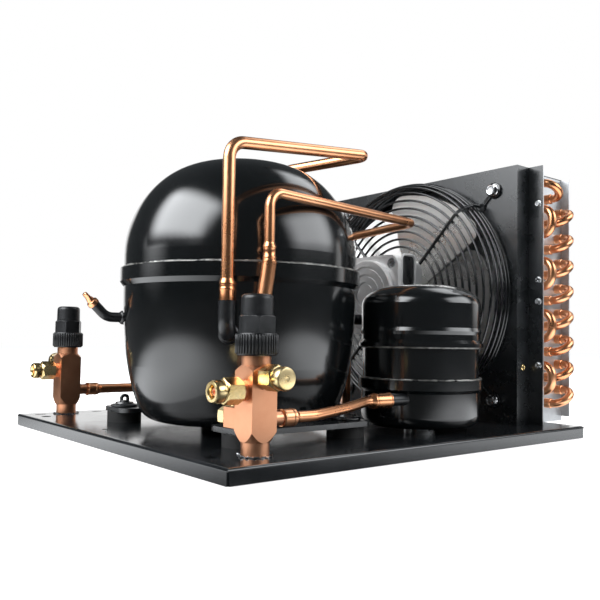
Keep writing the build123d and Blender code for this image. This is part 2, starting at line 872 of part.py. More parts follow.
lip_bottom = receiver_lower_seam_z - receiver_lip_height
with BuildPart() as receiver_bottom_cap:
    with BuildSketch(receiver_plane):
        with BuildLine():
            draw_receiver_cup(
                receiver_cup_radius,
                receiver_bottom_z,
                lip_bottom - receiver_neck_height,
                receiver_foot_round,
            )
            Line(
                (receiver_cup_radius, lip_bottom - receiver_neck_height),
                (0, lip_bottom - receiver_neck_height),
            )
        make_face()
        with BuildLine():
            Polyline(
                (0, lip_bottom - receiver_neck_height),
                (receiver_cup_radius, lip_bottom - receiver_neck_height),
                (receiver_lip_radius, lip_bottom),
                (receiver_lip_radius, receiver_lower_seam_z),
                (0, receiver_lower_seam_z),
                close=True,
            )
        make_face()
    revolve(axis=receiver_axis)
    with BuildSketch(receiver_plane):
        with BuildLine():
            draw_receiver_cup(
                receiver_cup_radius - receiver_wall,
                receiver_bottom_z + receiver_wall,
                receiver_tube_bottom,
                receiver_foot_round - receiver_wall,
            )
            Polyline(
                (receiver_cup_radius - receiver_wall, receiver_tube_bottom),
                (receiver_lap_radius, receiver_tube_bottom),
                (receiver_lap_radius, receiver_lower_seam_z),
                (0, receiver_lower_seam_z),
                (0, receiver_tube_bottom),
            )
        make_face()
    revolve(axis=receiver_axis, mode=Mode.SUBTRACT)
    with BuildSketch(Plane(origin=outlet_stub_start, z_dir=(1, 0, 0))):
        Circle(receiver_stub_radius + braze_gap)
    extrude(amount=outlet_stub_length, mode=Mode.SUBTRACT)
save(receiver_bottom_cap, "receiver_bottom_cap")

with BuildPart() as receiver_outlet_stub:
    with BuildSketch(Plane(origin=outlet_stub_start, z_dir=(1, 0, 0))):
        Circle(receiver_stub_radius)
    extrude(amount=outlet_stub_length)
save(receiver_outlet_stub, "receiver_outlet_stub")

with BuildPart() as receiver_inlet_stub:
    with BuildSketch(Plane(origin=inlet_root, z_dir=inlet_direction)):
        Circle(receiver_stub_radius)
    extrude(amount=(inlet_end - inlet_root).length)
save(receiver_inlet_stub, "receiver_inlet_stub")

with BuildPart() as receiver_stud:
    with Locations((receiver_x, receiver_y, deck)):
        Cylinder(receiver_boss_radius, receiver_bottom_z - deck, align=BOTTOM)
    with Locations((receiver_x, receiver_y, deck - receiver_stud_drop)):
        Cylinder(receiver_stud_radius, receiver_stud_drop, align=BOTTOM)
save(receiver_stud, "receiver_stud")

with BuildPart() as receiver_nut:
    with BuildSketch(Plane(origin=(receiver_x, receiver_y, deck_underside - nut_height))):
        RegularPolygon(nut_across_flats / 2, 6, major_radius=False)
        Circle(receiver_stud_radius, mode=Mode.SUBTRACT)
    extrude(amount=nut_height)
save(receiver_nut, "receiver_nut")

# ============================================================ service valves
# Each valve is one turned and drilled square bar: a flare port to the left, a capped
# port outwards, a tube tail to the right and, on the liquid valve, a gauge port inwards.


def left_port(y):
    """The left port's plane, on the valve's centre line."""
    return Plane(origin=(valve_x, y, valve_middle_port_z), z_dir=(-1, 0, 0))


def outward_port(y, side):
    """The outward port's plane, on the valve's centre line."""
    return Plane(origin=(valve_x, y, valve_high_port_z), z_dir=(0, side, 0))


def inward_port(y, side):
    """The gauge port's plane, on the valve's centre line."""
    return Plane(origin=(valve_x, y, valve_low_port_z), z_dir=(0, -side, 0))


def tail_port(y):
    """The tube tail's plane, on the valve's centre line."""
    return Plane(origin=(valve_x, y, valve_low_port_z), z_dir=(1, 0, 0))


def build_valve(y, side, has_gauge_port):
    """The valve's body; side is -1 on the front valve and 1 on the rear one."""
    turned_radius = valve_side / sqrt(2)
    with BuildPart() as body:
        with Locations((valve_x, y, valve_body_bottom_z)):
            Box(valve_side, valve_side, valve_body_top_z - valve_body_bottom_z, align=BOTTOM)
        with BuildSketch(upright_plane(valve_x, y)):
            with BuildLine():
                Polyline(
                    (0, valve_body_bottom_z),
                    (valve_side / 2, valve_body_bottom_z),
                    (turned_radius, valve_body_bottom_z + valve_turned_foot),
                    (turned_radius, valve_body_top_z - valve_turned_top),
                    (valve_side / 2, valve_body_top_z),
                    (0, valve_body_top_z),
                    close=True,
                )
            make_face()
        revolve(axis=upright_axis(valve_x, y), mode=Mode.INTERSECT)
        with Locations((valve_x, y, deck + star_washer_thickness)):
            Cylinder(
                valve_stem_radius,
                valve_body_bottom_z - deck - star_washer_thickness,
                align=BOTTOM,
            )
        with Locations((valve_x, y, valve_body_top_z)):
            Cylinder(valve_neck_radius, valve_neck_height, align=BOTTOM)
            Cylinder(valve_thread_radius, valve_neck_height + valve_thread_height, align=BOTTOM)
        with BuildSketch(left_port(y)):
            Circle(port_neck_radius)
        extrude(amount=valve_side / 2 + port_neck_length)
        with BuildSketch(left_port(y)):
            Circle(spigot_radius)
        extrude(amount=valve_side / 2 + port_neck_length + spigot_length)
        with BuildSketch(outward_port(y, side)):
            Circle(spigot_radius)
        extrude(amount=valve_side / 2 + spigot_length)
        with BuildSketch(tail_port(y)):
            Circle(valve_tail_radius)
        extrude(amount=valve_side / 2 + valve_tail_length)
        if has_gauge_port:
            with BuildSketch(inward_port(y, side)):
                Rectangle(gauge_block_side, gauge_block_side)
            extrude(amount=valve_side / 2 + gauge_block_length)
            gauge_face = inward_port(y, side).offset(valve_side / 2 + gauge_block_length)
            with BuildSketch(gauge_face):
                Circle(gauge_plug_shank_radius + spigot_clearance)
            extrude(amount=-gauge_plug_shank_length, mode=Mode.SUBTRACT)
        with Locations((valve_x, y, valve_thread_z)):
            Cylinder(
                spindle_radius + spindle_clearance,
                2 * spindle_bore_depth,
                mode=Mode.SUBTRACT,
            )
        with Locations((valve_x, y, deck + star_washer_thickness)):
            Cylinder(screw_radius + pin_clearance, 2 * valve_screw_bite, mode=Mode.SUBTRACT)
    return body


def build_flare_nut(y):
    """The hexagonal sealing nut on the left port, with its long round nose."""
    seat = left_port(y).offset(valve_side / 2 + port_neck_length)
    with BuildPart() as nut:
        with BuildSketch(seat):
            RegularPolygon(flare_nut_across_flats / 2, 6, major_radius=False)
        extrude(amount=flare_hex_length)
        with BuildSketch(seat.offset(flare_hex_length)):
            Circle(flare_nose_radius)
        extrude(amount=flare_nut_length - flare_hex_length, taper=flare_nose_taper)
        with BuildSketch(seat):
            Circle(flare_bore_radius)
        extrude(amount=flare_nut_length, mode=Mode.SUBTRACT)
        with BuildSketch(seat):
            Circle(spigot_radius + spigot_clearance)
        extrude(amount=spigot_length + spigot_clearance, mode=Mode.SUBTRACT)
    return nut


def build_port_cap(y, side):
    """The brass cap on the outward port: a hexagon with a round end."""
    seat = outward_port(y, side).offset(valve_side / 2)
    with BuildPart() as cap:
        with BuildSketch(seat):
            RegularPolygon(port_cap_across_flats / 2, 6, major_radius=False)
        extrude(amount=port_cap_hex_length)
        with BuildSketch(seat.offset(port_cap_hex_length)):
            Circle(port_cap_round_radius)
        extrude(amount=port_cap_reach - port_cap_hex_length)
        outer_edge = cap.edges().filter_by(GeomType.CIRCLE).sort_by(Axis(seat.origin, seat.z_dir))[-1]
        fillet(outer_edge, port_cap_edge_radius)
        with BuildSketch(seat):
            Circle(spigot_radius + spigot_clearance)
        extrude(amount=spigot_length + spigot_clearance, mode=Mode.SUBTRACT)
    return cap


def build_gauge_plug(y, side):
    """The brass plug in the inward gauge port."""
    seat = inward_port(y, side).offset(valve_side / 2 + gauge_block_length)
    with BuildPart() as plug:
        with BuildSketch(seat):
            RegularPolygon(gauge_plug_across_flats / 2, 6, major_radius=False)
        extrude(amount=gauge_plug_length)
        with BuildSketch(seat):
            Circle(gauge_plug_shank_radius)
        extrude(amount=-gauge_plug_shank_length)
    return plug


def build_valve_cap(y):
    """The moulded sealing cap: knurled ring, hexagon and round nose, hollow inside."""
    cap_z = valve_neck_z + valve_cap_gap
    with BuildPart() as cap:
        with Locations((valve_x, y, cap_z)):
            Cylinder(cap_ring_radius, cap_ring_height, align=BOTTOM)
            with PolarLocations(cap_ring_radius, cap_knurls):
                Box(
                    cap_knurl_depth,
                    cap_knurl_width,
                    cap_ring_height,
                    align=BOTTOM,
                    mode=Mode.SUBTRACT,
                )
        with BuildSketch(Plane(origin=(valve_x, y, cap_z + cap_ring_height))):
            RegularPolygon(cap_hex_across_flats / 2, 6, major_radius=False)
        extrude(amount=cap_hex_height)
        with Locations((valve_x, y, cap_z + cap_ring_height + cap_hex_height)):
            Cylinder(cap_nose_radius, cap_nose_height, align=BOTTOM)
        fillet(cap.edges().group_by(Axis.Z)[-1], cap_nose_round)
        with Locations((valve_x, y, cap_z)):
            Cylinder(
                valve_thread_radius + cap_clearance,
                valve_thread_height + cap_clearance,
                align=BOTTOM,
                mode=Mode.SUBTRACT,
            )
            Cylinder(cap_hollow_radius, cap_hollow_height, align=BOTTOM, mode=Mode.SUBTRACT)
    return cap


def build_spindle(y):
    """The valve's turning spindle, with the square that a service key fits."""
    foot = valve_thread_z - spindle_bore_depth + spindle_end_gap
    round_top = valve_thread_z + spindle_rise
    with BuildPart() as spindle:
        with Locations((valve_x, y, foot)):
            Cylinder(spindle_radius, round_top - foot, align=BOTTOM)
        with Locations((valve_x, y, round_top)):
            Box(spindle_square, spindle_square, spindle_square_length, align=BOTTOM)
    return spindle


for prefix, valve_y, side, has_gauge_port in (
    ("liquid_valve", liquid_valve_y, -1, True),
    ("suction_valve", suction_valve_y, 1, False),
):
    save(build_valve(valve_y, side, has_gauge_port), f"{prefix}_body")
    save(build_flare_nut(valve_y), f"{prefix}_flare_nut")
    save(build_port_cap(valve_y, side), f"{prefix}_port_cap")
    save(build_valve_cap(valve_y), f"{prefix}_cap")
    save(build_spindle(valve_y), f"{prefix}_spindle")
save(build_gauge_plug(liquid_valve_y, -1), "liquid_valve_gauge_plug")

valve_feet = [(valve_x, liquid_valve_y), (valve_x, suction_valve_y)]
with BuildPart() as valve_washers:
    with BuildSketch(Plane.XY.offset(deck)):
        with Locations(*valve_feet):
            Circle(star_washer_radius)
            with PolarLocations(star_washer_radius, star_washer_teeth):
                Rectangle(star_washer_notch_depth, star_washer_notch_width, mode=Mode.SUBTRACT)
            Circle(screw_radius + pin_clearance, mode=Mode.SUBTRACT)
    extrude(amount=star_washer_thickness)
save(valve_washers, "valve_washers")

with BuildPart() as valve_screws:
    with BuildSketch(Plane.XY.offset(deck_underside - screw_head_height)):
        with Locations(*valve_feet):
            RegularPolygon(nut_across_flats / 2, 6, major_radius=False)
    extrude(amount=screw_head_height)
    with BuildSketch(Plane.XY.offset(deck_underside)):
        with Locations(*valve_feet):
            Circle(screw_radius)
    extrude(amount=base_sheet + star_washer_thickness + valve_screw_bite - valve_screw_end_gap)
save(valve_screws, "valve_screws")

# ============================================================= copper tubing
suction_riser = on_shell(suction_stub_angle, riser_radius, suction_stub_top_z)
suction_pipe = build_tube(
    [
        suction_riser,
        Vector(suction_riser.X, suction_riser.Y, 235),
        at(198, 85, 250.5),
        at(171, 168, 247.5),
        at(168, 312, 247),
        at(168, 332, 34),
        at(130, 359, valve_low_port_z),
        Vector(valve_tail_x, suction_valve_y, valve_low_port_z),
    ],
    [14, 8, 60, 22, 20, 30],
    suction_tube_radius,
    [
        (Plane(suction_riser), swage_radius, swage_length),
        (
            Plane(origin=(valve_tail_x, suction_valve_y, valve_low_port_z), z_dir=(1, 0, 0)),
            pipe_collar_radius,
            pipe_collar_length,
        ),
    ],
)
save(suction_pipe, "suction_pipe")

discharge_start = on_shell(discharge_stub_angle, riser_radius, discharge_stub_top_z)
discharge_swage = on_shell(discharge_riser_angle, riser_radius, discharge_swage_z)
coil_end_y = panel_rear_y + end_plate_sheet / 2
coil_inlet = Vector(coil_columns[0], coil_end_y, coil_top_row_z - coil_rows * coil_row_pitch)
coil_outlet = Vector(coil_columns[1], coil_end_y, coil_inlet.Z - coil_row_pitch / 2)
discharge_run = build_tube(
    [
        discharge_swage,
        Vector(discharge_swage.X, discharge_swage.Y, 199),
        at(266, 94, 200),
        at(268, 190, 195.5),
        Vector(left + 268, panel_rear_y + 39.5, 194),
        Vector(left + 375, panel_rear_y + 45.5, 190),
        coil_inlet + Vector(0, coil_lead_reach, coil_lead_drop),
        coil_inlet + Vector(0, coil_lead_reach, 0),
        coil_inlet,
    ],
    [12, 8, 60, 24, 24, 20, 14],
    discharge_tube_radius,
    [(Plane(discharge_swage), swage_radius, swage_length)],
)
with BuildPart() as discharge_pipe:
    for point in (discharge_start, discharge_swage):
        with BuildSketch(Plane(point)):
            Circle(stub_radius)
    loft()
    add(discharge_run.part)
save(discharge_pipe, "discharge_pipe")

liquid_pipe_start = Vector(valve_tail_x, liquid_valve_y, valve_low_port_z)
liquid_pipe = build_tube(
    [
        liquid_pipe_start,
        at(93, liquid_valve_from_front, valve_low_port_z),
        at(134, 40, 37.6),
        at(164, outlet_stub_from_front, outlet_stub_z),
        outlet_stub_start,
    ],
    [40, 60, 40],
    liquid_tube_radius,
    [
        (
            Plane(origin=liquid_pipe_start, z_dir=(1, 0, 0)),
            pipe_collar_radius,
            pipe_collar_length,
        ),
        (
            Plane(origin=outlet_stub_start, z_dir=(-1, 0, 0)),
            pipe_collar_radius,
            liquid_fitting_length,
        ),
    ],
)
save(liquid_pipe, "liquid_pipe")

inlet_corner = inlet_end + inlet_direction * inlet_lead_length
condenser_return_pipe = build_tube(
    [
        inlet_end,
        inlet_corner,
        Vector(inlet_corner.X, inlet_corner.Y, return_run_z),
        at(288, 215, return_run_z),
        Vector(left + 298, panel_rear_y + 33.5, return_run_z),
        coil_outlet + Vector(0, coil_lead_reach, 0),
        coil_outlet,
    ],
    [9, 16, 60, 20, 18],
    liquid_tube_radius,
)
save(condenser_return_pipe, "condenser_return_pipe")

# ============================================== fan shroud and finned coil
# The shroud is one folded sheet: front panel, top, two returns and two flanges.
flange_screw_offset = panel_width / 2 + outer_flange_width - flange_screw_from_edge
flange_screw_spots = [
    (panel_middle_y + side * flange_screw_offset, height)
    for side in (-1, 1)
    for height in flange_screw_heights
]
flange_face = Plane(origin=(flange_x - panel_sheet / 2, 0, 0), x_dir=(0, 1, 0), z_dir=(1, 0, 0))

with BuildPart() as fan_shroud:
    with BuildSketch(Plane.XY.offset(deck)):
        with BuildLine():
            Polyline(
                (flange_x, panel_front_y - outer_flange_width),
                (flange_x, panel_front_y),
                (panel_x, panel_front_y),
                (panel_x, panel_rear_y),
                (flange_x, panel_rear_y),
                (flange_x, panel_rear_y + outer_flange_width),
            )
        trace(line_width=panel_sheet)
    extrude(amount=panel_height)
    with Locations((panel_x, panel_middle_y, panel_top)):
        Box(
            return_depth,
            panel_width,
            panel_sheet,
            align=(Align.MIN, Align.CENTER, Align.MAX),
        )
    with BuildSketch(Plane(origin=fan_centre, z_dir=(1, 0, 0))):
        Circle(fan_opening_radius + panel_sheet)
    extrude(amount=fan_collar_depth)
    with BuildSketch(Plane(origin=fan_centre, z_dir=(1, 0, 0))):
        Circle(fan_opening_radius)
    extrude(amount=2 * fan_collar_depth, both=True, mode=Mode.SUBTRACT)
    with BuildSketch(Plane(origin=fan_centre, x_dir=(0, 1, 0), z_dir=(1, 0, 0))):
        with GridLocations(2 * guard_bolt_offset, 2 * guard_bolt_offset, 2, 2):
            Circle(guard_bolt_radius + pin_clearance)
    extrude(amount=2 * panel_sheet, both=True, mode=Mode.SUBTRACT)
    with BuildSketch(flange_face):
        with Locations(*flange_screw_spots):
            Circle(flange_screw_shank_radius + pin_clearance)
    extrude(amount=panel_sheet, mode=Mode.SUBTRACT)
save(fan_shroud, "fan_shroud")


def build_end_plate(y, side):
    """A galvanised channel at one end of the coil; side is -1 in front, 1 behind."""
    plate_front_x = flange_x + (panel_sheet + end_plate_sheet) / 2
    plate_rear_x = coil_rear_x - end_plate_sheet / 2
    with BuildPart() as plate:
        with BuildSketch(Plane.XY.offset(deck)):
            with BuildLine():
                Polyline(
                    (plate_front_x, y + side * outer_flange_width),
                    (plate_front_x, y),
                    (plate_rear_x, y),
                    (plate_rear_x, y + side * rear_flange_width),
                )
            trace(line_width=end_plate_sheet)
        extrude(amount=coil_height)
        with Locations((plate_rear_x, y + side * (rear_flange_width + end_plate_sheet) / 2, deck)):
            Box(
                2 * end_plate_sheet,
                rear_flange_width,
                rear_flange_lift,
                align=BOTTOM,
                mode=Mode.SUBTRACT,
            )
        with BuildSketch(flange_face):
            with Locations(*flange_screw_spots):
                Circle(flange_screw_shank_radius + pin_clearance)
        extrude(amount=panel_sheet + end_plate_sheet, mode=Mode.SUBTRACT)
    return plate


save(build_end_plate(panel_front_y, -1), "condenser_end_plate_front")
save(build_end_plate(panel_rear_y, 1), "condenser_end_plate_rear")

fin_block_front_x = flange_x + panel_sheet / 2 + end_plate_sheet + fin_gap
fin_block_depth = coil_rear_x - end_plate_sheet - fin_block_front_x
fin_block_width = panel_width - end_plate_sheet
fin_count = int(fin_block_width / fin_pitch) - 1
with BuildPart() as condenser_fins:
    with BuildSketch(Plane.XY.offset(deck)):
        with Locations((fin_block_front_x + fin_block_depth / 2, panel_middle_y)):
            Rectangle(fin_block_depth, fin_block_width)
            with GridLocations(fin_block_depth, fin_pitch, 2, fin_count):
                Rectangle(2 * fin_slot_depth, fin_slot_width, mode=Mode.SUBTRACT)
    extrude(amount=coil_height - end_plate_sheet)
save(condenser_fins, "condenser_fins")

with BuildPart() as condenser_top_cover:
    with Locations((flange_x + panel_sheet / 2, panel_middle_y, deck + coil_height)):
        Box(
            coil_depth - panel_sheet / 2,
            panel_width + end_plate_sheet,
            panel_sheet,
            align=(Align.MIN, Align.CENTER, Align.MIN),
        )
save(condenser_top_cover, "condenser_top_cover")


def coil_tube(column, row):
    """The centre of a coil tube; the middle column sits half a row lower."""
    drop = coil_row_pitch / 2 if column == 1 else 0
    return coil_columns[column], coil_top_row_z - row * coil_row_pitch - drop


def build_bends(y, side, tube_pairs):
    """The return bends on one end plate, each joining a pair of coil tubes."""
    push = Vector(0, side * bend_reach, 0)
    with BuildPart() as bends:
        for (x1, z1), (x2, z2) in tube_pairs:
            start, end = Vector(x1, y, z1), Vector(x2, y, z2)
            with BuildLine() as route:
                FilletPolyline(
                    start,
                    start + push,
                    end + push,
                    end,
                    radius=bend_fullness * (end - start).length,
                )
            with BuildSketch(Plane(origin=route.line @ 0, z_dir=route.line % 0)):
                RegularPolygon(coil_tube_radius, coil_bend_sides)
            sweep()
    return bends


# The coil is one long circuit: down the first column, and up through the other two.
front_pairs = [(coil_tube(0, 0), coil_tube(1, 0))]
front_pairs += [(coil_tube(0, row), coil_tube(0, row + 1)) for row in range(1, coil_rows, 2)]
front_pairs += [(coil_tube(1, row), coil_tube(2, row)) for row in range(1, coil_rows + 1)]
rear_pairs = [(coil_tube(0, row), coil_tube(0, row + 1)) for row in range(0, coil_rows, 2)]
rear_pairs += [(coil_tube(2, row + 1), coil_tube(1, row)) for row in range(coil_rows)]
save(build_bends(panel_front_y - end_plate_sheet / 2, -1, front_pairs), "condenser_bends_front")
save(build_bends(coil_end_y, 1, rear_pairs), "condenser_bends_rear")

with BuildPart() as flange_screws:
    with BuildSketch(flange_face):
        with Locations(*flange_screw_spots):
            Circle(flange_screw_radius)
    extrude(amount=-flange_screw_height)
    with BuildSketch(flange_face):
        with Locations(*flange_screw_spots):
            Circle(flange_screw_shank_radius)
    extrude(amount=flange_screw_shank_length)
save(flange_screws, "flange_screws")

# =============================================================== fan guard
# A dished wire basket: rings on its face and its wall, and four bent arms.
guard_face_x = panel_x - guard_face_gap
guard_plane = Plane(
    origin=(guard_face_x, fan_centre.Y, fan_centre.Z), x_dir=(0, 1, 0), z_dir=(1, 0, 0)
)
guard_face_band = fan_opening_radius - guard_last_ring_inset - guard_first_ring_radius
guard_ring_pitch = guard_face_band / (guard_face_rings - 1)
face_rings = [(guard_first_ring_radius + k * guard_ring_pitch, 0) for k in range(guard_face_rings)]
wall_rings = [(fan_opening_radius + spread, depth) for spread, depth in guard_wall_profile]

for rings, name in (
    (face_rings, "fan_guard_face_rings"),
    (wall_rings, "fan_guard_wall_rings"),
):
    with BuildPart() as guard_rings:
        for radius, depth in rings:
            with BuildSketch(guard_plane.offset(depth)):
                RegularPolygon(radius + guard_wire / 2, guard_ring_sides, major_radius=False)
                RegularPolygon(
                    radius - guard_wire / 2,
                    guard_ring_sides,
                    major_radius=False,
                    mode=Mode.SUBTRACT,
                )
            extrude(amount=guard_wire)
    save(guard_rings, name)

arm_face_depth = guard_weld_sink - guard_wire / 2
arm_foot_depth = guard_face_gap - (panel_sheet + guard_wire) / 2
arm_reach = guard_bolt_offset * sqrt(2)
arm_wall = [
    (radius + guard_wire - guard_weld_sink, depth + guard_wire / 2)
    for radius, depth in wall_rings
]
arm_profile = [
    (guard_arm_inner_radius, arm_face_depth),
    (face_rings[-1][0] + guard_wire, arm_face_depth),
    *arm_wall,
    (arm_wall[-1][0] + guard_wire, arm_foot_depth),
    (arm_reach, arm_foot_depth),
]
bolt_plane = Plane(
    origin=(panel_x - panel_sheet / 2, fan_centre.Y, fan_centre.Z),
    x_dir=(0, 1, 0),
    z_dir=(-1, 0, 0),
)
with BuildPart() as fan_guard_arms:
    for angle in (45, 135, 225, 315):
        outwards = Vector(0, cos(radians(angle)), sin(radians(angle)))
        sideways = Vector(0, -sin(radians(angle)), cos(radians(angle)))
        arm_origin = guard_plane.origin + sideways * guard_arm_width / 2
        with BuildSketch(Plane(origin=arm_origin, x_dir=outwards, z_dir=-sideways)):
            with BuildLine():
                Polyline(*arm_profile)
            trace(line_width=guard_wire)
        extrude(amount=guard_arm_width)
    with BuildSketch(bolt_plane):
        with GridLocations(2 * guard_bolt_offset, 2 * guard_bolt_offset, 2, 2):
            Circle(guard_eye_radius)
    extrude(amount=guard_wire)
    with BuildSketch(bolt_plane):
        with GridLocations(2 * guard_bolt_offset, 2 * guard_bolt_offset, 2, 2):
            Circle(guard_bolt_radius + pin_clearance)
    extrude(amount=guard_wire, mode=Mode.SUBTRACT)
save(fan_guard_arms, "fan_guard_arms")

with BuildPart() as guard_bolts:
    with BuildSketch(bolt_plane.offset(guard_wire)):
        with GridLocations(2 * guard_bolt_offset, 2 * guard_bolt_offset, 2, 2):
            RegularPolygon(guard_bolt_head / 2, 6, major_radius=False)
    extrude(amount=guard_bolt_head_height)
    with BuildSketch(bolt_plane.offset(guard_wire)):
        with GridLocations(2 * guard_bolt_offset, 2 * guard_bolt_offset, 2, 2):
            Circle(guard_bolt_radius)
    extrude(amount=-guard_bolt_length)
save(guard_bolts, "guard_bolts")

# ================================================================ fan motor
# A square cast housing on the guard's arms, with a round ribbed end cover.
motor_rear_x = guard_face_x - guard_wire + guard_weld_sink
motor_front_x = motor_rear_x - motor_depth
motor_rear_plane = Plane(
    origin=(motor_rear_x, fan_centre.Y, fan_centre.Z), x_dir=(0, 1, 0), z_dir=(1, 0, 0)
)
motor_front_plane = Plane(
    origin=(motor_front_x, fan_centre.Y, fan_centre.Z), x_dir=(0, -1, 0), z_dir=(-1, 0, 0)
)
motor_end_side = motor_side - 2 * motor_flange_step

with BuildPart() as motor_housing:
    with BuildSketch(motor_front_plane):
        RectangleRounded(motor_side, motor_side, motor_corner_radius)
    extrude(amount=-motor_body_depth)
    with BuildSketch(motor_rear_plane):
        RectangleRounded(motor_end_side, motor_end_side, motor_corner_radius)
    extrude(amount=motor_body_depth - motor_depth)
    with BuildSketch(motor_rear_plane):
        Circle(motor_boss_radius)
    extrude(amount=motor_boss_height)
    for direction in (-1, 1):
        window_plane = Plane(
            origin=(
                motor_front_x + motor_window_from_front,
                fan_centre.Y + direction * motor_side / 2,
                fan_centre.Z + motor_window_rise,
            ),
            x_dir=(1, 0, 0),
            z_dir=(0, -direction, 0),
        )
        with BuildSketch(window_plane):
            RectangleRounded(motor_window_width, motor_window_height, motor_window_corner)
        extrude(amount=motor_window_depth, mode=Mode.SUBTRACT)
    with BuildSketch(motor_front_plane):
        with GridLocations(motor_screw_spacing, motor_screw_spacing, 2, 2):
            Circle(motor_screw_recess_radius)
    extrude(amount=-motor_screw_recess_depth, mode=Mode.SUBTRACT)
    with BuildSketch(motor_rear_plane.offset(motor_boss_height)):
        Circle(shaft_radius + shaft_clearance)
    extrude(amount=-shaft_bore_depth, mode=Mode.SUBTRACT)
save(motor_housing, "motor_housing")

with BuildPart() as motor_end_cover:
    with BuildSketch(motor_front_plane):
        Circle(motor_cover_radius)
    extrude(amount=motor_cover_depth)
    chamfer(motor_end_cover.edges().group_by(Axis.X)[0], motor_cover_chamfer)
    with BuildSketch(motor_front_plane.offset(motor_cover_depth)):
        for radius in motor_cover_grooves:
            Circle(radius + motor_cover_groove_width / 2)
            Circle(radius - motor_cover_groove_width / 2, mode=Mode.SUBTRACT)
    extrude(amount=-motor_cover_groove_depth, mode=Mode.SUBTRACT)
save(motor_end_cover, "motor_end_cover")

with BuildPart() as motor_screws:
    with BuildSketch(motor_front_plane.offset(-motor_screw_recess_depth)):
        with GridLocations(motor_screw_spacing, motor_screw_spacing, 2, 2):
            Circle(motor_screw_head_radius)
    extrude(amount=motor_screw_head_height)
save(motor_screws, "motor_screws")

# ================================================================ fan rotor
# Five cambered sheet blades on a hub; shaft, hub and blades turn together.
shaft_start_x = motor_rear_x + motor_boss_height - shaft_bore_depth + shaft_end_gap
hub_front_x = motor_rear_x + motor_boss_height + hub_gap
shaft_end_x = hub_front_x + hub_length + shaft_end_length

with BuildPart() as fan_shaft:
    with BuildSketch(Plane(origin=(shaft_start_x, fan_centre.Y, fan_centre.Z), z_dir=(1, 0, 0))):
        Circle(shaft_radius)
    extrude(amount=shaft_end_x - shaft_start_x)
save(fan_shaft, "fan_shaft")

with BuildPart() as fan_hub:
    with BuildSketch(Plane(origin=(hub_front_x, fan_centre.Y, fan_centre.Z), z_dir=(1, 0, 0))):
        Circle(hub_radius)
    extrude(amount=hub_length)
    fillet(fan_hub.edges().filter_by(GeomType.CIRCLE), hub_edge_radius)
    with BuildSketch(Plane(origin=(hub_front_x, fan_centre.Y, fan_centre.Z), z_dir=(1, 0, 0))):
        Circle(shaft_radius)
    extrude(amount=hub_length, mode=Mode.SUBTRACT)
save(fan_hub, "fan_hub")

blade_centre = Vector(hub_front_x + hub_length / 2, fan_centre.Y, fan_centre.Z)


def build_blade(angle):
    """One blade: a curved sheet, pitched about its radius and trimmed to a sector."""
    radial = Vector(0, cos(radians(angle)), sin(radians(angle)))
    tangent = Vector(0, -sin(radians(angle)), cos(radians(angle)))
    across = tangent * cos(radians(blade_pitch)) + Vector(sin(radians(blade_pitch)), 0, 0)
    half_angle = radians(blade_sector / 2)
    corner = (2 * blade_tip_radius * cos(half_angle), 2 * blade_tip_radius * sin(half_angle))
    slab_end = blade_tip_radius * sin(half_angle) + blade_slab_spare / 2
    with BuildPart() as blade:
        with BuildSketch(Plane(origin=blade_centre, x_dir=across, z_dir=radial)):
            with BuildLine():
                ThreePointArc(
                    (-slab_end, -blade_camber / 2),
                    (0, blade_camber / 2),
                    (slab_end, -blade_camber / 2),
                )
            trace(line_width=blade_thickness)
        extrude(amount=blade_tip_radius)
        with BuildSketch(Plane(origin=blade_centre, x_dir=radial, z_dir=(1, 0, 0))) as planform:
            with BuildLine():
                Polyline((0, 0), (corner[0], -corner[1]), corner, close=True)
            make_face()
            Circle(blade_tip_radius, mode=Mode.INTERSECT)
            Circle(hub_radius, mode=Mode.SUBTRACT)
            fillet(planform.vertices().sort_by(Axis.X)[-2:], blade_corner_radius)
        extrude(amount=blade_tip_radius, both=True, mode=Mode.INTERSECT)
    return blade.part


blades = [build_blade(blade_first_angle + k * 360 / blade_count) for k in range(blade_count)]
with BuildPart() as fan_blades:
    add(blades)
save(fan_blades, "fan_blades")
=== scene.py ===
# %% [markdown]
# # Refrigeration condensing unit
# This machine turns warm refrigerant gas back into liquid: a sealed compressor, a finned coil
# with its fan, a receiver that stores the liquid, and two service valves, all on one steel
# pan. The model comes in with every solid already in its place. The script gives each solid
# its finish, and swaps in finer pieces where a rolled, turned or repeated form needs more
# than the solid shows.
# Everything is in metres, in the model's own frame: +Z up, the pan's foot at Z = 0.

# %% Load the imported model
import json
from math import cos, degrees, pi, radians, sin, sqrt, tan

import bmesh
import bpy
from mathutils import Matrix, Vector, noise


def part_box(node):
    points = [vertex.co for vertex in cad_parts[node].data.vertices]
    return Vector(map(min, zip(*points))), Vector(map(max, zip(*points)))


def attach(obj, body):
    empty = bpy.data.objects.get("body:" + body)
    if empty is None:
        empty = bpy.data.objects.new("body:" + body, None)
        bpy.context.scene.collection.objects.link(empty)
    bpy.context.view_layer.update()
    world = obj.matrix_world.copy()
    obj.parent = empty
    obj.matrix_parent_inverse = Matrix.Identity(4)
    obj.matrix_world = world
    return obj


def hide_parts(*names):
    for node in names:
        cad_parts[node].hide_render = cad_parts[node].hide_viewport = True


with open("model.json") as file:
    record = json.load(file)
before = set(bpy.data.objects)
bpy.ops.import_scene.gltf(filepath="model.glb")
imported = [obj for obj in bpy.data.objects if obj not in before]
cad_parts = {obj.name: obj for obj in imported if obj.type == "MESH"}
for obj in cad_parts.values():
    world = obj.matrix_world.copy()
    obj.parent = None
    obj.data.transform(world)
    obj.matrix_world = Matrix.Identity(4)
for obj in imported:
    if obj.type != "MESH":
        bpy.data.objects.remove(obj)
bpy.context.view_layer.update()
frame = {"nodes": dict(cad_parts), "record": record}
nodes = frame["nodes"]
collection = bpy.context.scene.collection
bpy.context.scene.view_settings.view_transform = "Standard"

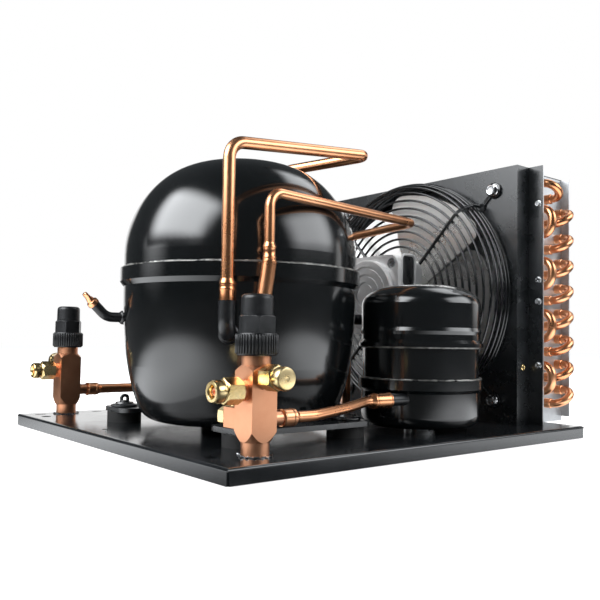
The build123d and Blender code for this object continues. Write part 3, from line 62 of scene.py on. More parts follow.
# %% [markdown]
# ## Camera
# The view is from the front left and a little above the pan. A camera can be aimed with three
# rotation values, or with a matrix made of its own right, up and backward directions. The
# matrix is used here, because each direction can be read and checked by itself.

# %% Camera
yaw, pitch, roll = 0.6835, 0.0421, 0.0143
focal_pixels = 729.75
image_pixels = 600
centre_row = 309.07
sensor_millimetres = 36
camera_place = Vector((-0.46286, -0.56344, 0.08896))

forward = Vector((sin(yaw) * cos(pitch), cos(yaw) * cos(pitch), sin(pitch)))
level_right = Vector((cos(yaw), -sin(yaw), 0))
level_up = level_right.cross(forward)
right = level_right * cos(roll) + level_up * sin(roll)
up = level_up * cos(roll) - level_right * sin(roll)

camera_data = bpy.data.cameras.new("camera")
camera_data.sensor_width = sensor_millimetres
camera_data.lens = focal_pixels / image_pixels * sensor_millimetres
camera_data.shift_y = (centre_row - image_pixels / 2) / image_pixels
camera_data.clip_start = 0.01
camera_data.clip_end = 50
camera = bpy.data.objects.new("camera", camera_data)
camera.matrix_world = Matrix((right, up, -forward)).transposed().to_4x4()
camera.matrix_world.translation = camera_place
collection.objects.link(camera)
bpy.context.scene.camera = camera
print("lens", round(camera_data.lens, 2))

# %% [markdown]
# ## Light and surroundings
# A product stand: a white table and a white wall behind it, in a dim room. One bright world
# would light everything, but black gloss paint would then mirror it as an even grey. The
# Light Path node tells which kind of ray is asking, so the camera can see a white wall while
# painted surfaces get the room's plain light and reflections get a dim shade. Plain area
# lamps give the even light. What the gloss and the metal mirror stands apart from them, on
# large soft cards that only reflections see.


# %% Choose by ray
def by_ray(tree, seen, mirrored, other):
    """Mixes what the camera sees, what reflections see, and what every other ray meets."""
    path = tree.nodes.new("ShaderNodeLightPath")
    for_gloss = tree.nodes.new("ShaderNodeMixShader")
    for_eye = tree.nodes.new("ShaderNodeMixShader")
    tree.links.new(path.outputs["Is Glossy Ray"], for_gloss.inputs["Fac"])
    tree.links.new(other.outputs[0], for_gloss.inputs[1])
    tree.links.new(mirrored.outputs[0], for_gloss.inputs[2])
    tree.links.new(path.outputs["Is Camera Ray"], for_eye.inputs["Fac"])
    tree.links.new(for_gloss.outputs[0], for_eye.inputs[1])
    tree.links.new(seen.outputs[0], for_eye.inputs[2])
    return for_eye.outputs[0]


# %% World
wall_light = ((1, 1, 1), 1.0)
shade_light = ((0.88, 0.95, 1.0), 0.07)
room_light = ((0.94, 0.97, 1.0), 0.34)
world = bpy.data.worlds.new("studio")
bpy.context.scene.world = world
world.use_nodes = True
tree = world.node_tree
tree.nodes.clear()
world_out = tree.nodes.new("ShaderNodeOutputWorld")
backgrounds = []
for colour, strength in (wall_light, shade_light, room_light):
    background = tree.nodes.new("ShaderNodeBackground")
    background.inputs["Color"].default_value = (*colour, 1)
    background.inputs["Strength"].default_value = strength
    backgrounds.append(background)
tree.links.new(by_ray(tree, *backgrounds), world_out.inputs["Surface"])
print("world", len(tree.nodes), "nodes")

# %% Even light
aim = Vector((0, 0, 0.12))


def from_bearing(bearing, height_angle, distance):
    """A place seen from the object: a bearing from +Y towards +X, and a height angle."""
    around, lift = radians(bearing), radians(height_angle)
    level = Vector((sin(around), cos(around), 0)) * cos(lift)
    return aim + (level + Vector((0, 0, sin(lift)))) * distance


def soft_light(name, bearing, height_angle, distance, width, tall, watts):
    """A rectangular lamp facing the object, which reflections don't see."""
    data = bpy.data.lights.new(name, "AREA")
    data.shape = "RECTANGLE"
    data.size = width
    data.size_y = tall
    data.energy = watts
    light = bpy.data.objects.new(name, data)
    light.location = from_bearing(bearing, height_angle, distance)
    light.rotation_euler = (aim - light.location).to_track_quat("-Z", "Y").to_euler()
    light.visible_glossy = False
    collection.objects.link(light)


soft_light("lamp_left", -75, 34, 1.8, 1.2, 1.2, 24)
soft_light("lamp_right", 150, 30, 1.7, 0.9, 1.0, 14)
soft_light("lamp_top", 30, 75, 1.7, 1.3, 0.9, 24)
soft_light("lamp_back", 40, 25, 2.0, 1.2, 0.8, 12)

# %% [markdown]
# ## Reflection cards
# In a product studio, white cards stand beside a glossy object, because gloss shows what is
# round it. A lamp could be mirrored instead, but its edge is hard. These cards glow, and a
# smooth fade over their own width and height softens each edge. They are hidden from every
# ray except a reflection, so they add a highlight and no other light.


# %% One rectangle
def rectangle_mesh(name, width, tall):
    """One flat face round the origin."""
    x, y = width / 2, tall / 2
    mesh = bpy.data.meshes.new(name)
    mesh.from_pydata([(-x, -y, 0), (x, -y, 0), (x, y, 0), (-x, y, 0)], [], [(0, 1, 2, 3)])
    return mesh


# %% Cards
def card(name, bearing, height_angle, distance, width, tall, strength, edge=0.6, tint=(1, 1, 1)):
    """A glowing card that only reflections see, fading out towards its edges."""
    mesh = rectangle_mesh(name, width, tall)
    made = bpy.data.objects.new(name, mesh)
    made.location = from_bearing(bearing, height_angle, distance)
    made.rotation_euler = (aim - made.location).to_track_quat("Z", "Y").to_euler()
    for ray_kind in ("camera", "diffuse", "shadow", "transmission", "volume_scatter"):
        setattr(made, f"visible_{ray_kind}", False)
    collection.objects.link(made)
    glow = bpy.data.materials.new(name)
    glow.use_nodes = True
    tree = glow.node_tree
    tree.nodes.clear()
    out = tree.nodes.new("ShaderNodeOutputMaterial")
    light = tree.nodes.new("ShaderNodeEmission")
    light.inputs["Color"].default_value = (*tint, 1)
    place = tree.nodes.new("ShaderNodeTexCoord")
    split = tree.nodes.new("ShaderNodeSeparateXYZ")
    tree.links.new(place.outputs["Object"], split.inputs[0])
    level = None
    for axis, half in (("X", width / 2), ("Y", tall / 2)):
        size = tree.nodes.new("ShaderNodeMath")
        size.operation = "ABSOLUTE"
        fade = tree.nodes.new("ShaderNodeMapRange")
        fade.interpolation_type = "SMOOTHSTEP"
        fade.inputs["From Min"].default_value = half
        fade.inputs["From Max"].default_value = half * (1 - edge)
        tree.links.new(split.outputs[axis], size.inputs[0])
        tree.links.new(size.outputs[0], fade.inputs["Value"])
        times = tree.nodes.new("ShaderNodeMath")
        times.operation = "MULTIPLY"
        times.inputs[0].default_value = strength
        if level:
            tree.links.new(level, times.inputs[0])
        tree.links.new(fade.outputs[0], times.inputs[1])
        level = times.outputs[0]
    tree.links.new(level, light.inputs["Strength"])
    tree.links.new(light.outputs[0], out.inputs["Surface"])
    mesh.materials.append(glow)


# %% Place the cards
cool = (0.95, 0.975, 1.0)
card("card_left", -80, 37, 1.7, 2.3, 1.6, 8.0, edge=0.55, tint=cool)
card("card_right", 145, 27, 1.7, 2.0, 1.25, 4.2, tint=cool)
card("card_top", 92, 55, 1.7, 1.2, 0.9, 2.6, tint=cool)
card("card_far", -58, 12, 3.0, 2.2, 1.1, 3.0, edge=1.0, tint=cool)
card("card_wall", 39, 8, 2.2, 4.2, 1.6, 1.2, edge=0.35)
card("card_back", 98, 9, 2.6, 2.2, 1.0, 1.3)

# %% [markdown]
# ## Floor
# A white table that still holds the object's shadow. A floor that only glows would show no
# shadow, and one that is only painted turns grey away from the lamps. So the camera sees
# pale paint with a glow added to it. Reflections see a dim table with two soft bright spots.

# %% Floor
floor_side = 12.0
floor_drop = 0.0005
floor_mesh = rectangle_mesh("floor", floor_side, floor_side)
floor = bpy.data.objects.new("floor", floor_mesh)
floor.location.z = -floor_drop
collection.objects.link(floor)
print("floor side", floor_side)

# %% Floor finish
floor_paint = 0.82
floor_glow = 0.72
mirrored_floor = 0.1
floor_spots = ((-0.46, 0.06, 0.4, 2.7), (0.2, -0.43, 0.42, 2.4))
floor_material = bpy.data.materials.new("pale_floor")
floor_material.use_nodes = True
tree = floor_material.node_tree
tree.nodes.clear()
floor_out = tree.nodes.new("ShaderNodeOutputMaterial")
paint = tree.nodes.new("ShaderNodeBsdfDiffuse")
paint.inputs["Color"].default_value = (floor_paint, floor_paint, floor_paint, 1)
white = tree.nodes.new("ShaderNodeEmission")
white.inputs["Strength"].default_value = floor_glow
table = tree.nodes.new("ShaderNodeEmission")
table.inputs["Color"].default_value = (*cool, 1)
place = tree.nodes.new("ShaderNodeTexCoord")
level = tree.nodes.new("ShaderNodeValue")
level.outputs[0].default_value = mirrored_floor
total = level.outputs[0]
for spot_x, spot_y, spot_size, spot_light in floor_spots:
    reach = tree.nodes.new("ShaderNodeVectorMath")
    reach.operation = "DISTANCE"
    reach.inputs[1].default_value = (spot_x, spot_y, 0)
    fade = tree.nodes.new("ShaderNodeMapRange")
    fade.interpolation_type = "SMOOTHSTEP"
    fade.inputs["From Min"].default_value = spot_size
    fade.inputs["From Max"].default_value = 0.3 * spot_size
    fade.inputs["To Max"].default_value = spot_light
    add = tree.nodes.new("ShaderNodeMath")
    tree.links.new(place.outputs["Object"], reach.inputs[0])
    tree.links.new(reach.outputs["Value"], fade.inputs["Value"])
    tree.links.new(total, add.inputs[0])
    tree.links.new(fade.outputs[0], add.inputs[1])
    total = add.outputs[0]
tree.links.new(total, table.inputs["Strength"])

# %% What each ray sees
seen = tree.nodes.new("ShaderNodeAddShader")
tree.links.new(paint.outputs[0], seen.inputs[0])
tree.links.new(white.outputs[0], seen.inputs[1])
tree.links.new(by_ray(tree, seen, table, paint), floor_out.inputs["Surface"])
floor_mesh.materials.append(floor_material)
print("floor finish", len(tree.nodes), "nodes")

# %% [markdown]
# ## Materials
# No real surface is one flat colour: paint flows unevenly, copper tarnishes in clouds, and
# zinc plating shows crystals. One node group makes that mottle as noise in the object's own
# coordinates, so it needs no image and no unwrapping, and it stays put when a piece moves.
# Every finish uses the same group with its own size and spread. It mixes two colours with
# the cloud, takes its roughness from the same cloud, and takes its bump from a finer grain.

# %% Shared mottle group
mottle = bpy.data.node_groups.new("mottle", "ShaderNodeTree")
mottle.interface.new_socket("Scale", in_out="INPUT", socket_type="NodeSocketFloat")
mottle.interface.new_socket("Low", in_out="INPUT", socket_type="NodeSocketFloat")
mottle.interface.new_socket("High", in_out="INPUT", socket_type="NodeSocketFloat")
mottle.interface.new_socket("Mask", in_out="OUTPUT", socket_type="NodeSocketFloat")
mottle.interface.new_socket("Fine", in_out="OUTPUT", socket_type="NodeSocketFloat")
group_in = mottle.nodes.new("NodeGroupInput")
group_out = mottle.nodes.new("NodeGroupOutput")
place = mottle.nodes.new("ShaderNodeTexCoord")
cloud = mottle.nodes.new("ShaderNodeTexNoise")
cloud.inputs["Detail"].default_value = 6
cloud.inputs["Roughness"].default_value = 0.6
grain = mottle.nodes.new("ShaderNodeTexNoise")
grain.inputs["Detail"].default_value = 2
grain_per_cloud = 9
finer = mottle.nodes.new("ShaderNodeMath")
finer.operation = "MULTIPLY"
finer.inputs[1].default_value = grain_per_cloud
cut = mottle.nodes.new("ShaderNodeMapRange")
mottle.links.new(place.outputs["Object"], cloud.inputs["Vector"])
mottle.links.new(place.outputs["Object"], grain.inputs["Vector"])
mottle.links.new(group_in.outputs["Scale"], cloud.inputs["Scale"])
mottle.links.new(group_in.outputs["Scale"], finer.inputs[0])
mottle.links.new(finer.outputs[0], grain.inputs["Scale"])
mottle.links.new(cloud.outputs[0], cut.inputs["Value"])
mottle.links.new(group_in.outputs["Low"], cut.inputs["From Min"])
mottle.links.new(group_in.outputs["High"], cut.inputs["From Max"])
mottle.links.new(cut.outputs[0], group_out.inputs["Mask"])
mottle.links.new(grain.outputs[0], group_out.inputs["Fine"])
print("mottle", len(mottle.nodes), "nodes")


# %% One finish
relief_depth = 0.0005


def finish(
    name,
    dark,
    light,
    rough=(0.3, 0.4),
    metallic=0.0,
    scale=30,
    spread=(0.35, 0.65),
    bump=0.02,
    coat=0.0,
    coat_rough=0.1,
    specular=0.5,
):
    """A procedural finish: two colours mottled together, uneven roughness and fine bump."""
    material = bpy.data.materials.new(name)
    material.use_nodes = True
    tree = material.node_tree
    shader = tree.nodes["Principled BSDF"]
    shader.inputs["Metallic"].default_value = metallic
    shader.inputs["Coat Weight"].default_value = coat
    shader.inputs["Coat Roughness"].default_value = coat_rough
    shader.inputs["Specular IOR Level"].default_value = specular
    marks = tree.nodes.new("ShaderNodeGroup")
    marks.node_tree = mottle
    marks.inputs["Scale"].default_value = scale
    marks.inputs["Low"].default_value = spread[0]
    marks.inputs["High"].default_value = spread[1]
    colour = tree.nodes.new("ShaderNodeMix")
    colour.data_type = "RGBA"
    colour.inputs[6].default_value = (*dark, 1)
    colour.inputs[7].default_value = (*light, 1)
    uneven = tree.nodes.new("ShaderNodeMapRange")
    uneven.inputs["To Min"].default_value = rough[0]
    uneven.inputs["To Max"].default_value = rough[1]
    relief = tree.nodes.new("ShaderNodeBump")
    relief.inputs["Strength"].default_value = bump
    relief.inputs["Distance"].default_value = relief_depth
    tree.links.new(marks.outputs["Mask"], colour.inputs["Factor"])
    tree.links.new(colour.outputs[2], shader.inputs["Base Color"])
    tree.links.new(marks.outputs["Mask"], uneven.inputs["Value"])
    tree.links.new(uneven.outputs[0], shader.inputs["Roughness"])
    tree.links.new(marks.outputs["Fine"], relief.inputs["Height"])
    tree.links.new(relief.outputs[0], shader.inputs["Normal"])
    return material


# %% [markdown]
# ## Paints and plastics
# The shell and the receiver carry thick gloss enamel, the pan a thinner gloss and the sheet
# metal a satin coat. What tells them apart is how sharp a reflection is, so the blacks are
# close to each other and the roughness and clear coat do the work.

# %% Black finishes
gloss_black = finish(
    "gloss_black", (0.002, 0.003, 0.0034), (0.005, 0.0062, 0.007), rough=(0.13, 0.19),
    scale=14, bump=0.03, coat=0.6,
)
satin_black = finish(
    "satin_black", (0.006, 0.0075, 0.0085), (0.013, 0.015, 0.017), rough=(0.24, 0.32),
    scale=40, bump=0.05, coat=0.3, coat_rough=0.3, specular=0.85,
)
pan_black = finish(
    "pan_black", (0.008, 0.0095, 0.011), (0.018, 0.020, 0.023), rough=(0.14, 0.22),
    scale=18, bump=0.04, coat=0.4,
)
stub_black = finish(
    "stub_black", (0.006, 0.007, 0.008), (0.015, 0.016, 0.018), rough=(0.24, 0.36),
    scale=60, bump=0.08,
)
wire_black = finish(
    "wire_black", (0.005, 0.006, 0.007), (0.012, 0.013, 0.014), rough=(0.14, 0.22),
    scale=80, coat=0.5,
)
cap_plastic = finish(
    "cap_plastic", (0.007, 0.008, 0.009), (0.014, 0.015, 0.017), rough=(0.3, 0.4),
    scale=90, bump=0.1,
)
terminal_plastic = finish(
    "terminal_plastic", (0.012, 0.012, 0.013), (0.022, 0.022, 0.023), rough=(0.25, 0.35),
    scale=60, bump=0.1,
)
rubber = finish(
    "rubber", (0.009, 0.009, 0.009), (0.02, 0.02, 0.02), rough=(0.6, 0.8), scale=120, bump=0.2
)
print("black finishes", len([m for m in bpy.data.materials if m.name.endswith("_black")]))

# %% [markdown]
# ## Metals
# A metal has no colour under its reflection: the reflection itself is tinted. So copper and
# brass are fully metallic, and their two tones are what light looks like after it bounces.
# Cast and galvanised metal are dull with oxide, so they are only partly metallic.

# %% Metal finishes
copper = finish(
    "copper", (0.74, 0.30, 0.13), (0.94, 0.49, 0.27), rough=(0.24, 0.34), metallic=1.0,
    scale=16, spread=(0.25, 0.75), bump=0.03,
)
valve_copper = finish(
    "valve_copper", (0.70, 0.30, 0.16), (0.90, 0.46, 0.27), rough=(0.3, 0.42), metallic=1.0,
    scale=30, spread=(0.25, 0.75), bump=0.08,
)
brass = finish(
    "brass", (0.80, 0.58, 0.25), (0.94, 0.76, 0.42), rough=(0.2, 0.32), metallic=1.0,
    scale=60, bump=0.05,
)
zinc = finish(
    "zinc", (0.42, 0.43, 0.44), (0.72, 0.73, 0.74), rough=(0.2, 0.36), metallic=1.0,
    scale=70, bump=0.08,
)
chrome = finish(
    "chrome", (0.62, 0.62, 0.63), (0.82, 0.82, 0.83), rough=(0.08, 0.16), metallic=1.0,
    scale=60, bump=0.03,
)
galvanised = finish(
    "galvanised", (0.46, 0.475, 0.49), (0.64, 0.655, 0.67), rough=(0.3, 0.45), metallic=0.75,
    scale=45, bump=0.12,
)
fin_metal = finish(
    "fin_metal", (0.5, 0.51, 0.52), (0.66, 0.67, 0.68), rough=(0.32, 0.42), metallic=0.6,
    scale=60, bump=0.05,
)
cast_metal = finish(
    "cast_metal", (0.66, 0.665, 0.67), (0.80, 0.805, 0.81), rough=(0.32, 0.44), metallic=0.4,
    scale=120, spread=(0.2, 0.8), bump=0.12,
)
blade_metal = finish(
    "blade_metal", (0.58, 0.57, 0.555), (0.72, 0.715, 0.70), rough=(0.24, 0.34), metallic=0.82,
    scale=9, spread=(0.2, 0.8),
)
cast_iron = finish(
    "cast_iron", (0.05, 0.05, 0.052), (0.10, 0.10, 0.105), rough=(0.45, 0.6), metallic=0.8,
    scale=80, bump=0.3,
)
weld = finish(
    "weld", (0.03, 0.03, 0.03), (0.42, 0.42, 0.40), rough=(0.25, 0.4), metallic=0.6,
    scale=110, bump=0.4,
)
print("materials", len(bpy.data.materials))

# %% [markdown]
# ## Dressing the solids
# Many solids already have the right shape and only need a finish. Each one's record names a
# material slot, so a table from slot to finish dresses all of them in one loop. The pan has
# its own paint, though its slot is the sheet metal's.

# %% Dress the solids
finish_of_slot = {
    "black_sheet": satin_black,
    "black_shell": gloss_black,
    "weld": weld,
    "black_stub": stub_black,
    "black_wire": wire_black,
    "copper": copper,
    "valve_copper": valve_copper,
    "brass": brass,
    "zinc_steel": zinc,
    "bright_bolts": chrome,
    "cap_plastic": cap_plastic,
    "terminal_plastic": terminal_plastic,
    "rubber": rubber,
    "galvanised": galvanised,
    "fins": fin_metal,
    "cast_motor": cast_metal,
    "blade_metal": blade_metal,
    "cast_iron": cast_iron,
}
for part in frame["record"]["subparts"]:
    surface = finish_of_slot[part["material_slot"]]
    if part["node"] == "base_pan":
        surface = pan_black
    solid = nodes[part["node"]]
    for place in solid.material_slots:
        place.material = surface
    if not solid.material_slots:
        solid.data.materials.append(surface)

# %% [markdown]
# ## Making tools
# Most small parts here are turned on a lathe, cut from hexagon bar or bent from tube. Each of
# those could start from Blender's own cylinder and be edited, but then its chamfers and
# grooves are hard to size. A skin through rows of corners does all three: a lathe's rows are
# circles, a hexagon's are clipped circles, and a tube's follow a line. The tools write into
# a bmesh, because one mesh can then hold several forms. Sizes are in millimetres along a
# part's own axis, and become metres as each corner is placed.

# %% Mesh tools
MM = 0.001


def turned_frame(origin, axis, across=None):
    """A matrix at origin (metres) whose Z runs along axis and whose X along across."""
    z = Vector(axis).normalized()
    x = Vector(across) if across else z.orthogonal()
    x = (x - z * x.dot(z)).normalized()
    return Matrix.Translation(origin) @ Matrix((x, z.cross(x), z)).transposed().to_4x4()


def mesh_from(build, name, sharp=38):
    """The mesh that build(bm) makes, closed, facing outwards, sharp above an angle."""
    bm = bmesh.new()
    build(bm)
    bmesh.ops.remove_doubles(bm, verts=bm.verts, dist=1e-7)
    bmesh.ops.recalc_face_normals(bm, faces=bm.faces)
    mesh = bpy.data.meshes.new(name)
    bm.to_mesh(mesh)
    bm.free()
    mesh.shade_smooth()
    mesh.set_sharp_from_angle(angle=radians(sharp))
    return mesh


# %% Skins and lathe
def add_rows(bm, rows, place, hollow=False):
    """Joins rows of corners (mm) into a closed skin; hollow joins the last to the first."""
    made = [[bm.verts.new(place @ (Vector(corner) * MM)) for corner in row] for row in rows]
    if hollow:
        made.append(made[0])
    count = max(len(row) for row in rows)
    for low, high in zip(made, made[1:]):
        for k in range(count):
            n = (k + 1) % count
            ring = (low[k % len(low)], low[n % len(low)], high[n % len(high)], high[k % len(high)])
            corners = list(dict.fromkeys(ring))
            if len(corners) > 2:
                bm.faces.new(corners)
    if not hollow:
        for row in (made[0], made[-1]):
            if len(row) > 2:
                bm.faces.new(row)


def round_row(radius, height, sides=72):
    """One round row of a lathed form; a radius of 0 gives its point."""
    turn = [2 * pi * k / sides for k in range(sides)] if radius else [0]
    return [(radius * cos(a), radius * sin(a), height) for a in turn]


def add_turned(bm, profile, place, sides=72, hollow=False):
    """A lathe: profile is (radius, height) in mm."""
    add_rows(bm, [round_row(radius, height, sides) for radius, height in profile], place, hollow)


# %% Hexagon bar
def hexagon_rows(flats, bottom, top, lower=False, sides=72):
    """Rows of a hexagon across its flats, its corners turned off above, and below if asked."""
    corner = flats / sqrt(3)
    seat = flats / 2 * 0.95
    slope = 0.55
    steps = [0, 0.25, 0.5, 0.75, 1]
    rise = (corner - seat) * slope
    heights = [bottom + rise * s for s in steps] if lower else [bottom]
    heights += [top - rise * s for s in reversed(steps)]
    rows = []
    for height in heights:
        reach = min(corner, seat + (top - height) / slope)
        if lower:
            reach = min(reach, seat + (height - bottom) / slope)
        row = []
        for k in range(sides):
            angle = 2 * pi * k / sides
            flat = flats / 2 / cos(angle % (pi / 3) - pi / 6)
            row.append((min(flat, reach) * cos(angle), min(flat, reach) * sin(angle), height))
        rows.append(row)
    return rows


# %% Round bar and rings
def add_tube(bm, line, radii, sides=16):
    """A round bar through points (metres) with a radius in mm at each of them."""
    place = Matrix.Identity(4)
    side = (line[1] - line[0]).orthogonal().normalized()
    rows = []
    for k, point in enumerate(line):
        ahead = (line[min(k + 1, len(line) - 1)] - line[max(k - 1, 0)]).normalized()
        side = (side - ahead * side.dot(ahead)).normalized()
        other = ahead.cross(side)
        turn = [2 * pi * n / sides for n in range(sides)]
        ring = [point + (side * cos(a) + other * sin(a)) * radii[k] * MM for a in turn]
        rows.append([tuple(corner / MM) for corner in ring])
    add_rows(bm, rows, place)


def close_rings(bm, rings):
    """Skins a loop of rings of corners, with the last ring joined to the first."""
    for low_ring, high_ring in zip(rings, rings[1:] + rings[:1]):
        for n in range(len(low_ring)):
            m = (n + 1) % len(low_ring)
            bm.faces.new((low_ring[n], low_ring[m], high_ring[m], high_ring[n]))


# %% Add a piece
def add_piece(name, mesh, body, surface, slot, *replaced):
    """Adds a mesh to the scene as a piece that rides on a body."""
    made = bpy.data.objects.new(name, mesh)
    collection.objects.link(made)
    mesh.materials.clear()
    mesh.materials.append(surface)
    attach(made, body)
    if replaced:
        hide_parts(*replaced)
    print(name, len(mesh.polygons), "faces")


# %% [markdown]
# ## Geometry Nodes tools
# Wire, fins, ribs, teeth and screws repeat one form many times. Copying objects in a loop
# would work, but Geometry Nodes keeps the rule in one place, with a named input for each
# size. One tree turns drawn edges into round wire with rounded corners: guard rings, guard
# arms, return bends and pin loops. The other sets a copy of one part on every point, turned
# by the point's own "turn" value: fins, ribs, teeth, screws and sockets. Both trees end in
# plain, dressed mesh.


# %% Named inputs
def add_inputs(tree, *inputs):
    """Adds inputs, each a label and a kind, and returns each label's identifier."""
    identifiers = {}
    for label, kind in inputs:
        socket = tree.interface.new_socket(label, in_out="INPUT", socket_type=kind)
        identifiers[label] = socket.identifier
    return identifiers


# %% Wire tree
wire_tree = bpy.data.node_groups.new("edges_to_wire", "GeometryNodeTree")
wire_sockets = add_inputs(
    wire_tree,
    ("Edges", "NodeSocketGeometry"),
    ("Radius", "NodeSocketFloat"),
    ("Corner", "NodeSocketFloat"),
    ("Sides", "NodeSocketInt"),
    ("Surface", "NodeSocketMaterial"),
)
wire_tree.interface.new_socket("Wire", in_out="OUTPUT", socket_type="NodeSocketGeometry")
wire_in = wire_tree.nodes.new("NodeGroupInput")
wire_out = wire_tree.nodes.new("NodeGroupOutput")
to_curve = wire_tree.nodes.new("GeometryNodeMeshToCurve")
corners = wire_tree.nodes.new("GeometryNodeFilletCurve")
corners.mode = "POLY"
corners.inputs["Count"].default_value = 10
section = wire_tree.nodes.new("GeometryNodeCurvePrimitiveCircle")
skin = wire_tree.nodes.new("GeometryNodeCurveToMesh")
skin.inputs["Fill Caps"].default_value = True
smooth = wire_tree.nodes.new("GeometryNodeSetShadeSmooth")
plain = wire_tree.nodes.new("GeometryNodeRealizeInstances")
dress = wire_tree.nodes.new("GeometryNodeSetMaterial")
wire_link = wire_tree.links.new
wire_link(wire_in.outputs["Edges"], to_curve.inputs["Mesh"])
wire_link(to_curve.outputs["Curve"], corners.inputs["Curve"])
wire_link(wire_in.outputs["Corner"], corners.inputs["Radius"])
wire_link(wire_in.outputs["Sides"], section.inputs["Resolution"])
wire_link(wire_in.outputs["Radius"], section.inputs["Radius"])
wire_link(corners.outputs["Curve"], skin.inputs["Curve"])
wire_link(section.outputs["Curve"], skin.inputs["Profile Curve"])
wire_link(skin.outputs["Mesh"], smooth.inputs["Geometry"])
wire_link(smooth.outputs["Geometry"], plain.inputs["Geometry"])
wire_link(plain.outputs["Geometry"], dress.inputs["Geometry"])
wire_link(wire_in.outputs["Surface"], dress.inputs["Material"])
wire_link(dress.outputs["Geometry"], wire_out.inputs["Wire"])
print("wire tree", len(wire_tree.nodes), "nodes")

# %% Repeat tree
repeat_tree = bpy.data.node_groups.new("part_on_points", "GeometryNodeTree")
repeat_sockets = add_inputs(
    repeat_tree,
    ("Points", "NodeSocketGeometry"),
    ("Part", "NodeSocketObject"),
    ("Surface", "NodeSocketMaterial"),
)
repeat_tree.interface.new_socket("Parts", in_out="OUTPUT", socket_type="NodeSocketGeometry")
repeat_in = repeat_tree.nodes.new("NodeGroupInput")
repeat_out = repeat_tree.nodes.new("NodeGroupOutput")
pattern = repeat_tree.nodes.new("GeometryNodeObjectInfo")
turn_value = repeat_tree.nodes.new("GeometryNodeInputNamedAttribute")
turn_value.data_type = "FLOAT_VECTOR"
turn_value.inputs["Name"].default_value = "turn"
spread_out = repeat_tree.nodes.new("GeometryNodeInstanceOnPoints")
plain = repeat_tree.nodes.new("GeometryNodeRealizeInstances")
dress = repeat_tree.nodes.new("GeometryNodeSetMaterial")
repeat_link = repeat_tree.links.new
repeat_link(repeat_in.outputs["Points"], spread_out.inputs["Points"])
repeat_link(repeat_in.outputs["Part"], pattern.inputs["Object"])
repeat_link(pattern.outputs["Geometry"], spread_out.inputs["Instance"])
repeat_link(turn_value.outputs["Attribute"], spread_out.inputs["Rotation"])
repeat_link(spread_out.outputs["Instances"], plain.inputs["Geometry"])
repeat_link(plain.outputs["Geometry"], dress.inputs["Geometry"])
repeat_link(repeat_in.outputs["Surface"], dress.inputs["Material"])
repeat_link(dress.outputs["Geometry"], repeat_out.inputs["Parts"])
print("repeat tree", len(repeat_tree.nodes), "nodes")


# %% Run a tree and keep its mesh
def tree_mesh(mesh, tree, values, sharp=38):
    """Runs a tree on a mesh and returns what it makes as one plain mesh."""
    carrier = bpy.data.objects.new("carrier", mesh)
    collection.objects.link(carrier)
    modifier = carrier.modifiers.new("tree", "NODES")
    modifier.node_group = tree
    for identifier, value in values.items():
        modifier[identifier] = value
    depsgraph = bpy.context.evaluated_depsgraph_get()
    result = bpy.data.meshes.new_from_object(carrier.evaluated_get(depsgraph), depsgraph=depsgraph)
    carrier.modifiers.clear()
    bpy.data.objects.remove(carrier)
    bm = bmesh.new()
    bm.from_mesh(result)
    bmesh.ops.recalc_face_normals(bm, faces=bm.faces)
    bm.to_mesh(result)
    bm.free()
    for layer in [a.name for a in result.attributes if a.name == "turn"]:
        result.attributes.remove(result.attributes[layer])
    result.shade_smooth()
    result.set_sharp_from_angle(angle=radians(sharp))
    return result


# %% Wire and copies
def wire_mesh(paths, radius, corner, surface, sides=12, closed=False):
    """Round wire of a radius (mm) along paths of points in metres."""
    corners, edges = [], []
    for path in paths:
        first = len(corners)
        corners += [tuple(point) for point in path]
        edges += [(first + k, first + k + 1) for k in range(len(path) - 1)]
        if closed:
            edges.append((len(corners) - 1, first))
    drawn = bpy.data.meshes.new("drawn")
    drawn.from_pydata(corners, edges, [])
    values = {
        wire_sockets["Radius"]: radius * MM,
        wire_sockets["Corner"]: corner * MM,
        wire_sockets["Sides"]: sides,
        wire_sockets["Surface"]: surface,
    }
    return tree_mesh(drawn, wire_tree, values)


def repeated_mesh(part_mesh, places, surface, turns=None, sharp=38):
    """Copies of a part on places in metres, each turned by its own angles."""
    part = bpy.data.objects.new("part", part_mesh)
    collection.objects.link(part)
    points = bpy.data.meshes.new("points")
    points.from_pydata([tuple(place) for place in places], [], [])
    turn = points.attributes.new("turn", "FLOAT_VECTOR", "POINT")
    for k in range(len(places)):
        turn.data[k].vector = turns[k] if turns else (0, 0, 0)
    values = {repeat_sockets["Part"]: part, repeat_sockets["Surface"]: surface}
    result = tree_mesh(points, repeat_tree, values, sharp)
    bpy.data.objects.remove(part)
    return result


def joined(name, *meshes):
    """One mesh from several."""
    bm = bmesh.new()
    for mesh in meshes:
        bm.from_mesh(mesh)
    result = bpy.data.meshes.new(name)
    bm.to_mesh(result)
    bm.free()
    return result


print("tools ready")

# %% [markdown]
# ## Fan guard
# The guard is a basket of welded wire: concentric rings on its face, wider rings down its
# side, and four heavier rods that end in eyes under the bolts. A torus for each ring would
# do, but the rods need bends as well. Drawn edges and the wire tree make both, because every
# ring and rod is round wire on another path. The guard's centre is the middle of the solid
# rings, so the fan turns true inside it.

# %% Guard
guard_low, guard_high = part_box("fan_guard_face_rings")
fan_y = (guard_low[1] + guard_high[1]) / 2
fan_z = (guard_low[2] + guard_high[2]) / 2
guard_face_x = guard_low[0]
guard_wire = 2.6
panel_front_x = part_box("fan_shroud")[0][0]
fan_opening = 117.0
first_ring = 54.0
ring_step = 8.2
face_ring_radii = [first_ring + k * ring_step for k in range(8)]
wall_ring_places = [(0.5, 3.0), (3.5, 8.5), (5.0, 14.0), (5.5, 19.5), (5.0, 25.0)]


